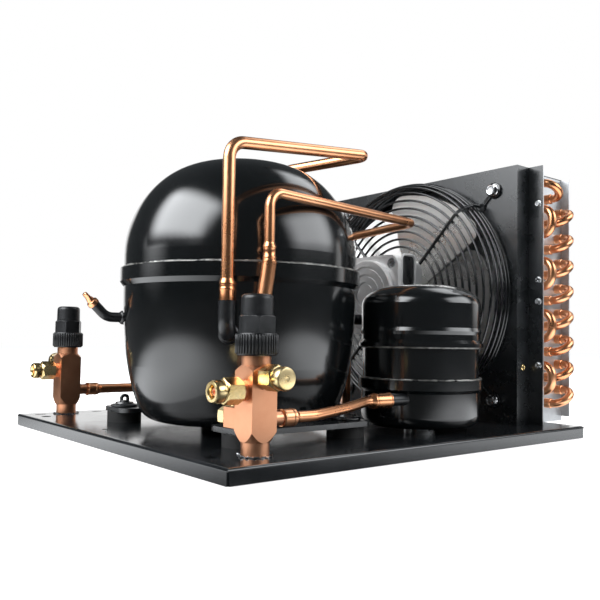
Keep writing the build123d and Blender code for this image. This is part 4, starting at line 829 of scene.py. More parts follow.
def guard_circle(radius, depth):
    """Points round one guard ring: its radius and its depth behind the face, in mm."""
    x = guard_face_x + (depth + guard_wire / 2) * MM
    turn = [2 * pi * k / 120 for k in range(120)]
    return [(x, fan_y + radius * MM * cos(a), fan_z + radius * MM * sin(a)) for a in turn]


face_paths = [guard_circle(radius, 0) for radius in face_ring_radii]
wall_paths = [guard_circle(fan_opening + spread, depth) for spread, depth in wall_ring_places]
face_wire = wire_mesh(face_paths, guard_wire / 2, 0, wire_black, sides=10, closed=True)
wall_wire = wire_mesh(wall_paths, guard_wire / 2, 0, wire_black, sides=10, closed=True)
add_piece("guard_face_wires", face_wire, "unit", wire_black, "black_wire", "fan_guard_face_rings")
add_piece("guard_wall_wires", wall_wire, "unit", wire_black, "black_wire", "fan_guard_wall_rings")

# %% Guard arms
arm_rod = 1.7
arm_bend = 4.0
arm_start = 42.0
guard_bolt_radius = 5.0
bolts_low, bolts_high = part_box("guard_bolts")
eye_from_centre = (bolts_high[1] - bolts_low[1]) / 2 / MM - guard_bolt_radius
eye_reach = eye_from_centre * sqrt(2)
foot_x = panel_front_x - guard_wire / 2 * MM
arm_paths = []
for quarter in range(4):
    angle = radians(45 + 90 * quarter)
    profile = [
        (arm_start, guard_face_x - arm_rod * MM),
        (face_ring_radii[-1] + 2.0, guard_face_x - arm_rod * MM),
        (fan_opening + 3.0, guard_face_x + 3.0 * MM),
        (fan_opening + 8.2, guard_face_x + 13.0 * MM),
        (fan_opening + 8.4, guard_face_x + 24.0 * MM),
        (fan_opening + 12.0, foot_x),
        (eye_reach - 5.0, foot_x),
    ]
    arm_paths.append(
        [(x, fan_y + r * MM * cos(angle), fan_z + r * MM * sin(angle)) for r, x in profile]
    )
rods = wire_mesh(arm_paths, arm_rod, arm_bend, wire_black, sides=12)
eye_spots = [
    (panel_front_x, fan_y + sy * eye_from_centre * MM, fan_z + sz * eye_from_centre * MM)
    for sy in (-1, 1)
    for sz in (-1, 1)
]
print("arms", len(arm_paths), "eyes", len(eye_spots))


# %% Guard eyes
def build_eye(bm):
    """A flat ring under a bolt, with rounded edges."""
    ring = [(3.15, 0), (3.15, 2.6), (7.2, 2.6), (7.85, 2.1), (8.0, 1.3), (7.85, 0.5), (7.2, 0)]
    add_turned(bm, ring, turned_frame((0, 0, 0), (-1, 0, 0)), sides=40, hollow=True)


eyes = repeated_mesh(mesh_from(build_eye, "eye"), eye_spots, wire_black)
arms = joined("arms", rods, eyes)
add_piece("guard_arm_rods", arms, "unit", wire_black, "black_wire", "fan_guard_arms")

# %% [markdown]
# ## Return bends
# Copper hairpins join the coil's tubes at each end, so that the refrigerant runs through
# every row in turn. A swept curve would make one, but there are two dozen. A bend is three
# straight runs with round corners, which is what the wire tree makes from four drawn
# corners. Each leg starts in a belled socket with a thin ring of braze.

# %% Coil layout
bend_tube = 4.0
bend_corner = 10.9
bend_reach = 19.0
column_pitch = 19.05
row_pitch = 25.4
first_column = 9.6
top_margin = 10.2
panel_half_sheet = 0.6
coil_rear_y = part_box("condenser_end_plate_rear")[0][1]
flange_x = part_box("condenser_top_cover")[0][0] - panel_half_sheet * MM
coil_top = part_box("condenser_end_plate_front")[1][2]
coil_rows = 8


def coil_tube(column, row):
    """The (x, z) of a coil tube; the middle column sits half a row lower."""
    drop = row_pitch / 2 if column == 1 else 0
    x = flange_x + (first_column + column * column_pitch) * MM
    return x, coil_top - (top_margin + row * row_pitch + drop) * MM


front_pairs = [(coil_tube(0, 0), coil_tube(1, 0))]
front_pairs += [(coil_tube(0, row), coil_tube(0, row + 1)) for row in range(1, coil_rows, 2)]
front_pairs += [(coil_tube(1, row), coil_tube(2, row)) for row in range(1, coil_rows + 1)]
rear_pairs = [(coil_tube(0, row), coil_tube(0, row + 1)) for row in range(0, coil_rows, 2)]
rear_pairs += [(coil_tube(2, row + 1), coil_tube(1, row)) for row in range(coil_rows)]
print("bends", len(front_pairs), "in front", len(rear_pairs), "behind")


# %% Bends and sockets
def build_socket(bm):
    """A belled tube end with a bead of braze at its lip, standing along +Y."""
    profile = [(4.15, 0), (4.75, 0), (4.75, 4.2), (4.6, 4.9)]
    profile += [(4.95, 5.3), (4.95, 5.9), (4.5, 6.5), (4.05, 6.8)]
    add_turned(bm, profile, turned_frame((0, 0, 0), (0, 1, 0)), sides=28)


socket_mesh = mesh_from(build_socket, "socket", sharp=60)
for side, plate_y, pairs, node in (
    (-1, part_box("condenser_bends_front")[1][1], front_pairs, "condenser_bends_front"),
    (1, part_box("condenser_bends_rear")[0][1], rear_pairs, "condenser_bends_rear"),
):
    paths, spots = [], []
    for (x1, z1), (x2, z2) in pairs:
        out_y = plate_y + side * bend_reach * MM
        paths.append([(x1, plate_y, z1), (x1, out_y, z1), (x2, out_y, z2), (x2, plate_y, z2)])
        spots += [(x1, plate_y, z1), (x2, plate_y, z2)]
    tubes = wire_mesh(paths, bend_tube, bend_corner, copper, sides=20)
    turns = [(0, 0, 0 if side > 0 else pi)] * len(spots)
    sockets = repeated_mesh(socket_mesh, spots, copper, turns, sharp=60)
    name = node.replace("condenser", "copper")
    add_piece(name, joined(name, tubes, sockets), "unit", copper, "copper", node)

# %% [markdown]
# ## Fins
# Thin aluminium fins hang on the coil's tubes and carry its heat to the air. An Array
# modifier could repeat one, but the points of a tree also take a turn where it is wanted.
# One rippled fin is drawn and set on a row of points, because real fins are pressed from one
# tool.

# %% Fins
fin_low, fin_high = [Vector(corner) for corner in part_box("condenser_fins")]
fin_pitch = 1.65
fin_sheet = 0.18
fin_margin = 1.0
ripple = 0.5
ripple_steps = 24


def build_fin(bm):
    """One fin: a sheet across X and Z, rippled along X as it is pressed."""
    depth = (fin_high.x - fin_low.x) / MM
    height = (fin_high.z - fin_low.z) / MM
    near, far = [], []
    for k in range(ripple_steps + 1):
        x = depth * k / ripple_steps
        y = ripple / 2 * (1 if k % 2 else -1)
        near.append((x, y - fin_sheet / 2))
        far.append((x, y + fin_sheet / 2))
    outline = near + list(reversed(far))
    low = [bm.verts.new(Vector((x, y, 0)) * MM) for x, y in outline]
    high = [bm.verts.new(Vector((x, y, height)) * MM) for x, y in outline]
    count = len(outline)
    for k in range(count):
        n = (k + 1) % count
        bm.faces.new((low[k], low[n], high[n], high[k]))
    for k in range(ripple_steps):
        a, b = k, k + 1
        c, d = count - 2 - k, count - 1 - k
        bm.faces.new((low[a], low[b], low[c], low[d]))
        bm.faces.new((high[a], high[b], high[c], high[d]))


# %% Set the fins
fin_width = (fin_high.y - fin_low.y) / MM
fin_count = int((fin_width - 2 * fin_margin) / fin_pitch)
fin_places = [fin_margin + fin_pitch * (k + 0.5) for k in range(fin_count)]
fin_spots = [(fin_low.x, fin_low.y + place * MM, fin_low.z) for place in fin_places]
print("fins", fin_count)
fins = repeated_mesh(mesh_from(build_fin, "fin", sharp=20), fin_spots, fin_metal, sharp=20)
add_piece("coil_fins", fins, "unit", fin_metal, "fins", "condenser_fins")

# %% [markdown]
# ## Valve caps
# A service valve's cap keeps dirt off its spindle. It is moulded in one piece: a ribbed ring
# to grip, a hexagon for a spanner and a round nose. Boolean cuts could make that from three
# bodies, but they leave ragged edges. The skin here is lathed, with hexagonal rows in the
# middle, and the ribs are one half-round bar repeated round the ring.

# %% Caps
cap_ribs = 40
rib_radius = 0.8
ring_radius = 13.9
ring_height = 15.0
cap_flats = 23.4
hex_top = 27.2
nose_radius = 11.2
nose_round = 3.2
cap_top = 41.4


def build_cap(bm):
    """The cap's skin, from the top of its hollow out over its rim and up its outside."""
    rows = [round_row(r, z) for r, z in ((0, 36), (6.5, 36), (6.5, 10.3), (9.7, 10.3), (9.7, 0))]
    rows += [round_row(r, z) for r, z in ((13.0, 0), (13.7, 0.7), (ring_radius, 1.6))]
    shoulder = ((ring_radius, 14.2), (13.5, ring_height), (12.3, ring_height))
    rows += [round_row(r, z) for r, z in shoulder]
    rows += hexagon_rows(cap_flats, ring_height + 0.1, hex_top)
    rows.append(round_row(nose_radius, hex_top + 0.1))
    rows.append(round_row(nose_radius - 0.15, 37.6))
    for step in range(7):
        angle = pi / 2 * step / 6
        radius = nose_radius - 3.4 + nose_round * cos(angle)
        rows.append(round_row(radius, cap_top - nose_round + nose_round * sin(angle)))
    rows.append(round_row(0, cap_top - 0.15))
    add_rows(bm, rows, Matrix.Identity(4))


def build_rib(bm):
    """One grip rib, standing at the ring's edge on the +X side."""
    place = Matrix.Translation((ring_radius * MM, 0, 0))
    profile = [(0, 0.9), (rib_radius, 1.7), (rib_radius, 13.6), (0.3, 14.3), (0, 14.3)]
    add_turned(bm, profile, place, sides=10)


# %% Set the caps
rib_mesh = mesh_from(build_rib, "rib", sharp=60)
for prefix in ("liquid_valve", "suction_valve"):
    low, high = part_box(f"{prefix}_cap")
    seat = Vector(((low[0] + high[0]) / 2, (low[1] + high[1]) / 2, low[2]))
    core = mesh_from(build_cap, "cap")
    core.transform(Matrix.Translation(seat))
    turns = [(0, 0, 2 * pi * k / cap_ribs) for k in range(cap_ribs)]
    ribs = repeated_mesh(rib_mesh, [seat] * cap_ribs, cap_plastic, turns, sharp=60)
    node = f"{prefix}_cap"
    grip_cap = joined(f"{prefix}_grip_cap", core, ribs)
    add_piece(grip_cap.name, grip_cap, node, cap_plastic, "cap_plastic", node)

# %% [markdown]
# ## Brass nuts
# Each valve has a sealing nut with a long turned nose on its left port and a blind cap on
# its outward port, and the liquid valve has a gauge plug as well. They are cut from hexagon
# bar on a lathe, which turns the corners off in small curved chamfers. A bevelled six-sided
# cylinder never shows those curves, so the rows follow the hexagon and the cone together.

# %% Left port nuts
port_axis = (-1, 0, 0)


def build_flare_nut(bm):
    """A hexagonal nut whose nose has a waist, a round lip and an open bore."""
    rows = [round_row(5.65, 0)]
    rows += hexagon_rows(16.0, 0, 13.0, lower=True)
    nose = [(7.3, 13.1), (6.9, 13.6), (6.9, 14.4), (7.5, 15.0), (7.7, 16.2), (7.6, 19.4)]
    nose += [(7.3, 20.8), (6.7, 21.5), (5.0, 21.5), (4.6, 21.1), (4.3, 20.0), (3.9, 19.2)]
    nose += [(3.9, 9.05), (5.65, 9.05)]
    rows += [round_row(radius, height) for radius, height in nose]
    add_rows(bm, rows, Matrix.Identity(4), hollow=True)


def build_port_core(bm):
    """The copper core seen down the nut's bore."""
    profile = [(0, 9.2), (2.7, 9.2), (2.7, 18.8), (2.3, 19.4), (1.3, 19.4), (1.1, 18.4), (0, 18.4)]
    add_turned(bm, profile, Matrix.Identity(4), sides=28)


for prefix in ("liquid_valve", "suction_valve"):
    low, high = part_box(f"{prefix}_flare_nut")
    foot = (high[0], (low[1] + high[1]) / 2, (low[2] + high[2]) / 2)
    seat = turned_frame(foot, port_axis, (0, 0, 1))
    nut = mesh_from(build_flare_nut, f"{prefix}_port_nut", sharp=30)
    nut.transform(seat)
    add_piece(nut.name, nut, "unit", brass, "brass", f"{prefix}_flare_nut")
    core = mesh_from(build_port_core, f"{prefix}_port_core", sharp=30)
    core.transform(seat)
    add_piece(core.name, core, "unit", valve_copper, "valve_copper")


# %% Outward port caps
def build_blind_cap(bm):
    """A hexagon with a round blind end and a turned groove between them."""
    rows = [round_row(0, 9.05), round_row(5.65, 9.05), round_row(5.65, 0)]
    rows += hexagon_rows(15.4, 1.2, 14.8, lower=True)
    end = [(7.0, 14.9), (7.0, 15.6), (7.5, 16.1), (7.8, 16.8), (7.8, 21.8), (7.5, 22.8)]
    end += [(6.9, 23.4), (6.0, 23.6), (1.8, 23.6), (1.5, 23.3), (0, 23.2)]
    rows += [round_row(radius, height) for radius, height in end]
    add_rows(bm, rows, Matrix.Identity(4))


for prefix, outwards in (("liquid_valve", -1), ("suction_valve", 1)):
    low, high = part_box(f"{prefix}_port_cap")
    seat_y = high[1] if outwards < 0 else low[1]
    middle = ((low[0] + high[0]) / 2, seat_y, (low[2] + high[2]) / 2)
    cap = mesh_from(build_blind_cap, f"{prefix}_blind_cap", sharp=30)
    cap.transform(turned_frame(middle, (0, outwards, 0), (0, 0, 1)))
    add_piece(cap.name, cap, "unit", brass, "brass", f"{prefix}_port_cap")


# %% Gauge plug
plug_height = 8.0


def build_plug(bm):
    """A short hexagonal plug on its shank."""
    rows = [round_row(0, -8), round_row(4.0, -8), round_row(4.0, 0)]
    rows += hexagon_rows(14.0, 0, plug_height, lower=True)
    rows += [round_row(5.2, 7.9), round_row(4.6, 7.4), round_row(0, 7.4)]
    add_rows(bm, rows, Matrix.Identity(4))


low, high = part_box("liquid_valve_gauge_plug")
plug_foot = ((low[0] + high[0]) / 2, high[1] - plug_height * MM, (low[2] + high[2]) / 2)
plug = mesh_from(build_plug, "gauge_plug", sharp=30)
plug.transform(turned_frame(plug_foot, (0, 1, 0), (0, 0, 1)))
add_piece("gauge_plug_brass", plug, "unit", brass, "brass", "liquid_valve_gauge_plug")

# %% [markdown]
# ## Screws and washers
# Small bright fasteners catch the eye, and a plain disc in their place looks like a toy. A
# toothed washer bites into paint, a flange spreads a screw's load, and a slot takes a
# screwdriver. Each head is made once with those forms, and the repeat tree sets it on every
# hole, because all the screws of a kind are alike.

# %% Toothed washers
low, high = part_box("valve_washers")
washer_x = (low[0] + high[0]) / 2
washer_radius = (high[0] - low[0]) / 2 / MM
washer_feet = [
    (washer_x, low[1] + washer_radius * MM, low[2]),
    (washer_x, high[1] - washer_radius * MM, low[2]),
]
washer_teeth = 14


def build_washer_ring(bm):
    """The flat ring that carries the teeth."""
    profile = [(3.2, 0.1), (10.6, 0.1), (10.6, 0.9), (3.2, 0.9)]
    add_turned(bm, profile, Matrix.Identity(4), sides=56, hollow=True)


def build_tooth(bm):
    """One twisted tooth, reaching out along +X."""
    rows = []
    for share in (0, 0.5, 1):
        twist = radians(28) * share
        x = 10.2 + 2.2 * share
        half = 1.5 - 0.45 * share
        row = []
        for y, z in ((-half, -0.3), (half, -0.3), (half, 0.3), (-half, 0.3)):
            row.append((x, y * cos(twist) - z * sin(twist), 0.75 + y * sin(twist) + z * cos(twist)))
        rows.append(row)
    add_rows(bm, rows, Matrix.Identity(4))


ring_mesh = repeated_mesh(mesh_from(build_washer_ring, "ring"), washer_feet, zinc)
tooth_places = [foot for foot in washer_feet for k in range(washer_teeth)]
tooth_turns = [(0, 0, 2 * pi * k / washer_teeth) for foot in washer_feet for k in range(washer_teeth)]
teeth_mesh = repeated_mesh(mesh_from(build_tooth, "tooth"), tooth_places, zinc, tooth_turns)
toothed = joined("washers", ring_mesh, teeth_mesh)
add_piece("toothed_washers", toothed, "unit", zinc, "zinc_steel", "valve_washers")


# %% Flange screws
screw_height = 2.2
screw_flange = 3.4


def build_flange_screw(bm):
    """A small hexagon head on its own round flange, facing the fan side."""
    facing = turned_frame((0, 0, 0), (-1, 0, 0), (0, 0, 1))
    rows = [round_row(0, -3.5), round_row(1.9, -3.5), round_row(1.9, 0)]
    rows += [round_row(3.3, 0), round_row(screw_flange, 0.35), round_row(3.2, 0.7)]
    rows += hexagon_rows(4.9, 0.8, screw_height)
    rows += [round_row(1.6, 2.15), round_row(1.2, 1.8), round_row(0, 1.8)]
    add_rows(bm, rows, facing)


low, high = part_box("flange_screws")
screw_seat_x = low[0] + screw_height * MM
screw_sides = (low[1] + screw_flange * MM, high[1] - screw_flange * MM)
screw_heights = (224.0, 150.0, 129.0, 67.7)
screw_spots = [(screw_seat_x, y, z * MM) for y in screw_sides for z in screw_heights]
screws = repeated_mesh(mesh_from(build_flange_screw, "screw", sharp=30), screw_spots, zinc, sharp=30)
add_piece("flange_screw_heads", screws, "unit", zinc, "zinc_steel", "flange_screws")


# %% Guard bolts
def build_guard_bolt(bm):
    """A plated bolt: shank, flange and a hexagon with a dished top."""
    facing = turned_frame((0, 0, 0), (-1, 0, 0), (0, 0, 1))
    rows = [round_row(0, -10.0), round_row(2.6, -10.0), round_row(3.0, -9.4), round_row(3.0, 2.6)]
    rows += [round_row(5.6, 2.6), round_row(5.75, 3.0), round_row(5.5, 3.5)]
    rows += hexagon_rows(9.4, 3.6, 7.6)
    rows += [round_row(3.4, 7.5), round_row(2.9, 7.1), round_row(0, 7.0)]
    add_rows(bm, rows, facing)


bolts = repeated_mesh(mesh_from(build_guard_bolt, "bolt", sharp=30), eye_spots, chrome, sharp=30)
add_piece("guard_bolt_heads", bolts, "unit", chrome, "bright_bolts", "guard_bolts")

# %% Motor screws
slotted_radius = 3.5
slot_half = 0.55
low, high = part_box("motor_screws")
motor_screw_spacing = high[1] - low[1] - 2 * slotted_radius * MM
motor_screw_seat = high[0]


def build_slotted_screw(bm):
    """A round head with a screwdriver slot across it, facing the compressor."""
    crown = 3.4
    facing = turned_frame((0, 0, 0), (-1, 0, 0), (0, 0, 1))
    add_turned(bm, [(slotted_radius, 0), (slotted_radius, 1.6)], facing, sides=40)
    for half in (-1, 1):
        outline = []
        for k in range(19):
            angle = radians(10) + radians(160) * k / 18
            outline.append((crown * cos(angle), half * max(crown * sin(angle), slot_half)))
        if half < 0:
            outline.reverse()
        add_rows(bm, [[(x, y, z) for x, y in outline] for z in (1.5, 2.7)], facing)


screw_middle = Vector((motor_screw_seat, fan_y, fan_z))
motor_spots = [
    screw_middle + Vector((0, sy, sz)) * motor_screw_spacing / 2 for sy in (-1, 1) for sz in (-1, 1)
]
slots = [(radians(turn), 0, 0) for turn in (20, 75, -35, 50)]
slotted = repeated_mesh(mesh_from(build_slotted_screw, "slotted"), motor_spots, zinc, slots)
add_piece("motor_slotted_screws", slotted, "unit", zinc, "zinc_steel", "motor_screws")

# %% [markdown]
# ## Shell weld
# The two halves of the compressor's shell are welded all round. A torus would be far too
# even, because a real bead wanders and swells as the torch moves. Its rings are placed one
# by one here, with a slow wave of noise for the wander and a quick one for the ripple.

# %% Shell weld
bead_size = 1.35
bead_sides = 8
low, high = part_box("compressor_weld_bead")
weld_centre = Vector(((low[0] + high[0]) / 2, (low[1] + high[1]) / 2, low[2]))
weld_outer = (high[0] - low[0]) / 2 / MM
weld_steps = 420


def build_weld(bm):
    """A bead with swells and ripples, sitting on the lower shell's rim."""
    rings = []
    for k in range(weld_steps):
        angle = 2 * pi * k / weld_steps
        outward = Vector((cos(angle), sin(angle), 0))
        slow = noise.noise(outward * 6)
        quick = noise.noise(outward * 55)
        size = bead_size + 0.3 * slow + 0.4 * quick
        middle = weld_centre + outward * (weld_outer - bead_size + 0.35 * quick) * MM
        middle.z += (0.35 + 0.25 * slow) * MM
        ring = []
        for n in range(bead_sides):
            turn = 2 * pi * n / bead_sides
            offset = outward * cos(turn) * size * 1.15 + Vector((0, 0, 1)) * sin(turn) * size
            ring.append(bm.verts.new(middle + offset * MM))
        rings.append(ring)
    close_rings(bm, rings)


weld_mesh = mesh_from(build_weld, "weld_line", sharp=80)
add_piece("shell_weld_line", weld_mesh, "unit", weld, "weld", "compressor_weld_bead")

# %% [markdown]
# ## Copper lines
# The suction line brings cold gas to the compressor, and the discharge line takes hot gas to
# the coil. Both are one copper tube bent on a former, so a run is dead straight and a bend is
# a true arc. A curve object with smooth handles would sag between its points. Here the arcs
# are worked out between the runs, and a round bar follows the line. A joint is swaged: a
# widened end with rolled beads and a tapered shoulder, which the lathe makes.

# %% Where the lines start and end
shell_axis = Vector((weld_centre.x, weld_centre.y, 0))
stub_reach = 119.0
stub_top_z = 117.0
suction_angle = 230.5
discharge_angle = 243.5
suction_tube = 4.75
liquid_tube = 4.0
joint_radius = 6.2
discharge_tube = 3.97
plate_sheet = 1.2
valve_tail_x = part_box("liquid_valve_body")[1][0]
liquid_y = (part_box("liquid_valve_cap")[0][1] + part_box("liquid_valve_cap")[1][1]) / 2
suction_y = (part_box("suction_valve_cap")[0][1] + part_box("suction_valve_cap")[1][1]) / 2
tail_z = 0.035
liquid_tail = (valve_tail_x, liquid_y, tail_z)
suction_tail = (valve_tail_x, suction_y, tail_z)
stub_low, stub_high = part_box("receiver_outlet_stub")


def riser_foot(angle, height):
    """The foot of a riser: an angle round the shell's axis, and a height, in mm."""
    outward = Vector((cos(radians(angle)), sin(radians(angle)), 0))
    return shell_axis + outward * stub_reach * MM + Vector((0, 0, height * MM))


print("valve tails", [round(v, 4) for v in liquid_tail], [round(v, 4) for v in suction_tail])


# %% Tube and swage tools
def rounded_line(corners, bends):
    """Points along straight runs (metres), joined by arcs with their own radii (mm)."""
    line = [corners[0]]
    for before, corner, after, radius in zip(corners, corners[1:], corners[2:], bends):
        back = (before - corner).normalized()
        ahead = (after - corner).normalized()
        half = back.angle(ahead) / 2
        centre = corner + (back + ahead).normalized() * radius * MM / sin(half)
        start = corner + back * radius * MM / tan(half) - centre
        end = corner + ahead * radius * MM / tan(half) - centre
        steps = max(4, int(degrees(pi - 2 * half) / 6))
        for k in range(steps + 1):
            line.append(centre + start.slerp(end, k / steps).normalized() * radius * MM)
    line.append(corners[-1])
    return line


def add_line(bm, corners, bends, radius):
    """A round copper line through corners in metres, with bend radii in mm."""
    line = rounded_line([Vector(corner) for corner in corners], bends)
    add_tube(bm, line, [radius] * len(line), sides=28)


def add_swage(bm, origin, axis, wide, narrow, length):
    """A rolled bead at the mouth, one at the shoulder, and the taper down to the tube."""
    place = turned_frame(origin, axis)
    mouth = [(wide - 0.3, -0.3), (wide + 0.35, 0.2), (wide + 0.45, 0.9)]
    mouth += [(wide + 0.3, 1.6), (wide - 0.3, 2.0)]
    ridge = [(wide - 0.3, length - 3.2), (wide + 0.25, length - 2.7), (wide + 0.3, length - 2.0)]
    ridge += [(wide + 0.1, length - 1.4), (wide - 0.3, length - 1.2)]
    taper = [(narrow - 0.4, length - 0.4), (wide, length - 0.4), (wide * 0.94, length + 0.5)]
    taper += [(narrow + 0.55, length + 2.2), (narrow + 0.08, length + 3.6), (narrow - 0.4, length + 3.6)]
    for ring in (mouth, ridge, taper):
        add_turned(bm, ring, place, sides=40, hollow=True)


# %% Suction line
def build_suction_line(bm):
    """Up from the shell, over the dome to the back, down and forward to the rear valve."""
    foot = riser_foot(suction_angle, stub_top_z)
    corners = [foot, (foot.x, foot.y, 0.235), (-0.0185, -0.1095, 0.2505), (-0.0455, -0.0265, 0.2475)]
    corners += [(-0.0485, 0.1175, 0.247), (-0.0485, 0.1375, 0.034), (-0.0865, suction_y, tail_z)]
    corners.append(suction_tail)
    add_line(bm, corners, (14, 8, 60, 22, 20, 30), suction_tube)
    sleeve = [(3.9, -1.6), (5.5, -1.6), (5.5, 7.2), (5.8, 7.7), (5.95, 8.4), (5.8, 9.1), (5.5, 9.6)]
    sleeve += [(5.55, 10.8), (5.8, 11.6), (5.85, 12.4), (5.65, 13.4)]
    sleeve += [(5.2, 14.8), (4.8, 16.2), (3.9, 16.2)]
    add_turned(bm, sleeve, turned_frame(foot, (0, 0, 1)), sides=44, hollow=True)
    collar = [(3.9, -0.4), (6.2, -0.4), (6.2, 10.8), (3.9, 10.8)]
    add_turned(bm, collar, turned_frame(suction_tail, (1, 0, 0)), sides=44, hollow=True)


suction_mesh = mesh_from(build_suction_line, "suction_line", sharp=50)
add_piece("suction_line", suction_mesh, "unit", copper, "copper", "suction_pipe")


# %% Discharge line
def build_discharge_line(bm):
    """Leaning up from its stub to a swage, then over to the coil's first tube."""
    stub_top = riser_foot(discharge_angle, stub_top_z)
    foot = riser_foot(245.3, 146.0)
    lean = (foot - stub_top).normalized()
    add_line(bm, [stub_top - lean * 1.5 * MM, foot + lean * MM], (), 5.7)
    inlet_x, inlet_z = coil_tube(0, coil_rows)
    inlet_y = coil_rear_y + plate_sheet * MM
    behind = inlet_y + 0.04
    corners = [foot, (foot.x, foot.y, 0.199), (0.0495, -0.1005, 0.2), (0.0515, -0.0045, 0.1955)]
    corners += [(0.0515, 0.1435, 0.194), (0.1585, 0.1495, 0.19)]
    corners += [(inlet_x, behind, inlet_z + 0.05), (inlet_x, behind, inlet_z)]
    corners.append((inlet_x, inlet_y, inlet_z))
    add_line(bm, corners, (12, 8, 60, 24, 24, 20, 14), discharge_tube)
    sleeve = [(3.3, -1.2), (5.5, -1.2), (5.75, -0.2), (5.6, 0.9), (4.95, 1.9), (4.75, 2.4), (5.1, 2.8)]
    sleeve += [(5.3, 3.4), (5.1, 4.0), (4.7, 4.5), (4.7, 9.6), (5.0, 10.1), (5.25, 10.9), (5.1, 11.7)]
    sleeve += [(4.7, 12.6), (4.25, 13.8), (4.0, 14.8), (3.3, 14.8)]
    add_turned(bm, sleeve, turned_frame(foot, (0, 0, 1)), sides=44, hollow=True)


discharge_mesh = mesh_from(build_discharge_line, "discharge_line", sharp=50)
add_piece("discharge_line", discharge_mesh, "unit", copper, "copper", "discharge_pipe")


# %% Low joints
def build_swages(bm):
    """The beads of the low copper joints, at the valves and the receiver."""
    add_swage(bm, liquid_tail, (1, 0, 0), joint_radius, liquid_tube, 11.0)
    add_swage(bm, suction_tail, (1, 0, 0), joint_radius, suction_tube, 11.0)
    stub_mouth = (stub_low[0], (stub_low[1] + stub_high[1]) / 2, (stub_low[2] + stub_high[2]) / 2)
    add_swage(bm, stub_mouth, (-1, 0, 0), joint_radius, liquid_tube, 19.0)


swages = mesh_from(build_swages, "swages", sharp=50)
add_piece("copper_swages", swages, "unit", copper, "copper")

# %% [markdown]
# ## Braze on the shell
# Each stub is brazed into the shell, and the filler runs out into a small smooth ring. A
# bevel on the joint of two meshes would need them to be one, so the ring is a lathed form of
# its own, aimed along its stub.

# %% Braze rings
shell_reach = 102.0
filling_angle = 180.0
filling_tube = 4.3
filling_inset = 17.0
stub_places = (
    (suction_angle, 93.0, 6.35),
    (discharge_angle, 92.0, 6.35),
    (filling_angle, 106.5, filling_tube),
)


def build_fillets(bm):
    """Rings of braze where the stubs and the filling tube enter the shell."""
    for angle, height, radius in stub_places:
        outward = Vector((cos(radians(angle)), sin(radians(angle)), 0))
        origin = shell_axis + outward * shell_reach * MM + Vector((0, 0, height * MM))
        if angle == filling_angle:
            origin.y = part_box("process_tube")[0][1] + filling_tube * MM
            origin.x += filling_inset * MM
        ring = [(radius - 0.3, -3.0), (radius + 2.2, -3.0), (radius + 1.7, 0.6), (radius + 0.9, 1.6)]
        ring += [(radius + 0.2, 2.6), (radius - 0.3, 2.6)]
        add_turned(bm, ring, turned_frame(origin, outward), sides=36, hollow=True)


fillets = mesh_from(build_fillets, "fillets", sharp=60)
add_piece("braze_fillets", fillets, "unit", stub_black, "black_stub")

# %% [markdown]
# ## Small trim
# A brass rivet holds the shroud's folded return, and the motor's side windows have a cast
# lip. Both are thin raised rims. A bevel would only soften an edge, so each rim is its own
# closed ring: a lathed one for the rivet, and rows of a rounded rectangle for the lip. A
# dark plate at the foot of each window is painted shade: it stands for the unlit winding
# space behind it.

# %% Rivet
rivet_x = 0.1487
rivet_z = 0.0654
return_inset = 14.9
rivet_spot = Vector((rivet_x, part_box("fan_shroud")[0][1] + return_inset * MM, rivet_z))


def build_rivet(bm):
    """A hollow rivet: a rolled rim round a dark hole."""
    rim = [(1.3, -0.4), (2.9, 0), (3.2, 0.35), (2.9, 0.75), (2.2, 0.95), (1.5, 0.7), (1.3, 0.2)]
    add_turned(bm, rim, turned_frame(rivet_spot, (0, -1, 0)), sides=36, hollow=True)


add_piece("return_rivet", mesh_from(build_rivet, "rivet", sharp=50), "unit", brass, "brass")

# %% Motor window frames
motor_low, motor_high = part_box("motor_housing")
window_from_front = 16.0
window_above_shaft = 24.0
window_lip = (18.0, 30.0, 4.0)
window_floor = (17.6, 29.6, 3.8)
window_depth = 2.9
window_x = motor_low[0] + window_from_front * MM
window_z = fan_z + window_above_shaft * MM


def rounded_frame_rows(width, height, corner, depth_profile):
    """Rows of a rounded rectangle, each set in by a step and raised by another."""
    rows = []
    for inset, rise in depth_profile:
        row = []
        w, h, c = width / 2 - inset, height / 2 - inset, max(corner - inset, 0.4)
        for sx, sy, start in ((1, 1, 0), (-1, 1, 90), (-1, -1, 180), (1, -1, 270)):
            for k in range(7):
                angle = radians(start + 90 * k / 6)
                row.append((sx * (w - c) + c * cos(angle), sy * (h - c) + c * sin(angle), rise))
        rows.append(row)
    return rows


def build_window_frames(bm):
    """A raised cast lip round the window in each side of the motor."""
    profile = [(-2.2, -0.2), (-1.9, 0.35), (-1.2, 0.6), (-0.4, 0.45)]
    profile += [(0.1, 0.0), (0.3, -1.2), (-2.2, -1.2)]
    for side, y in ((-1, motor_low[1]), (1, motor_high[1])):
        place = turned_frame((window_x, y, window_z), (0, side, 0), (1, 0, 0))
        add_rows(bm, rounded_frame_rows(*window_lip, profile), place, hollow=True)


frames = mesh_from(build_window_frames, "window_frames", sharp=50)
add_piece("motor_window_frames", frames, "unit", cast_metal, "cast_motor")

# %% Painted shade inside the motor windows
def build_window_shades(bm):
    """A dark plate of painted shade across the foot of each window's recess."""
    profile = [(0, 0), (0, 1.4), (0.6, 1.8)]
    for side, y in ((-1, motor_low[1]), (1, motor_high[1])):
        foot = (window_x, y - side * window_depth * MM, window_z)
        place = turned_frame(foot, (0, side, 0), (1, 0, 0))
        add_rows(bm, rounded_frame_rows(*window_floor, profile), place)


shades = mesh_from(build_window_shades, "window_shades", sharp=50)
add_piece("motor_window_shades", shades, "unit", stub_black, "black_stub")

# %% [markdown]
# ## Receiver welds
# The receiver is a rolled tube with a pressed cap welded on above and below. Its seams get
# the same kind of bead as the shell's, but smaller and calmer, and each has its own seed, so
# that no two seams ripple alike.

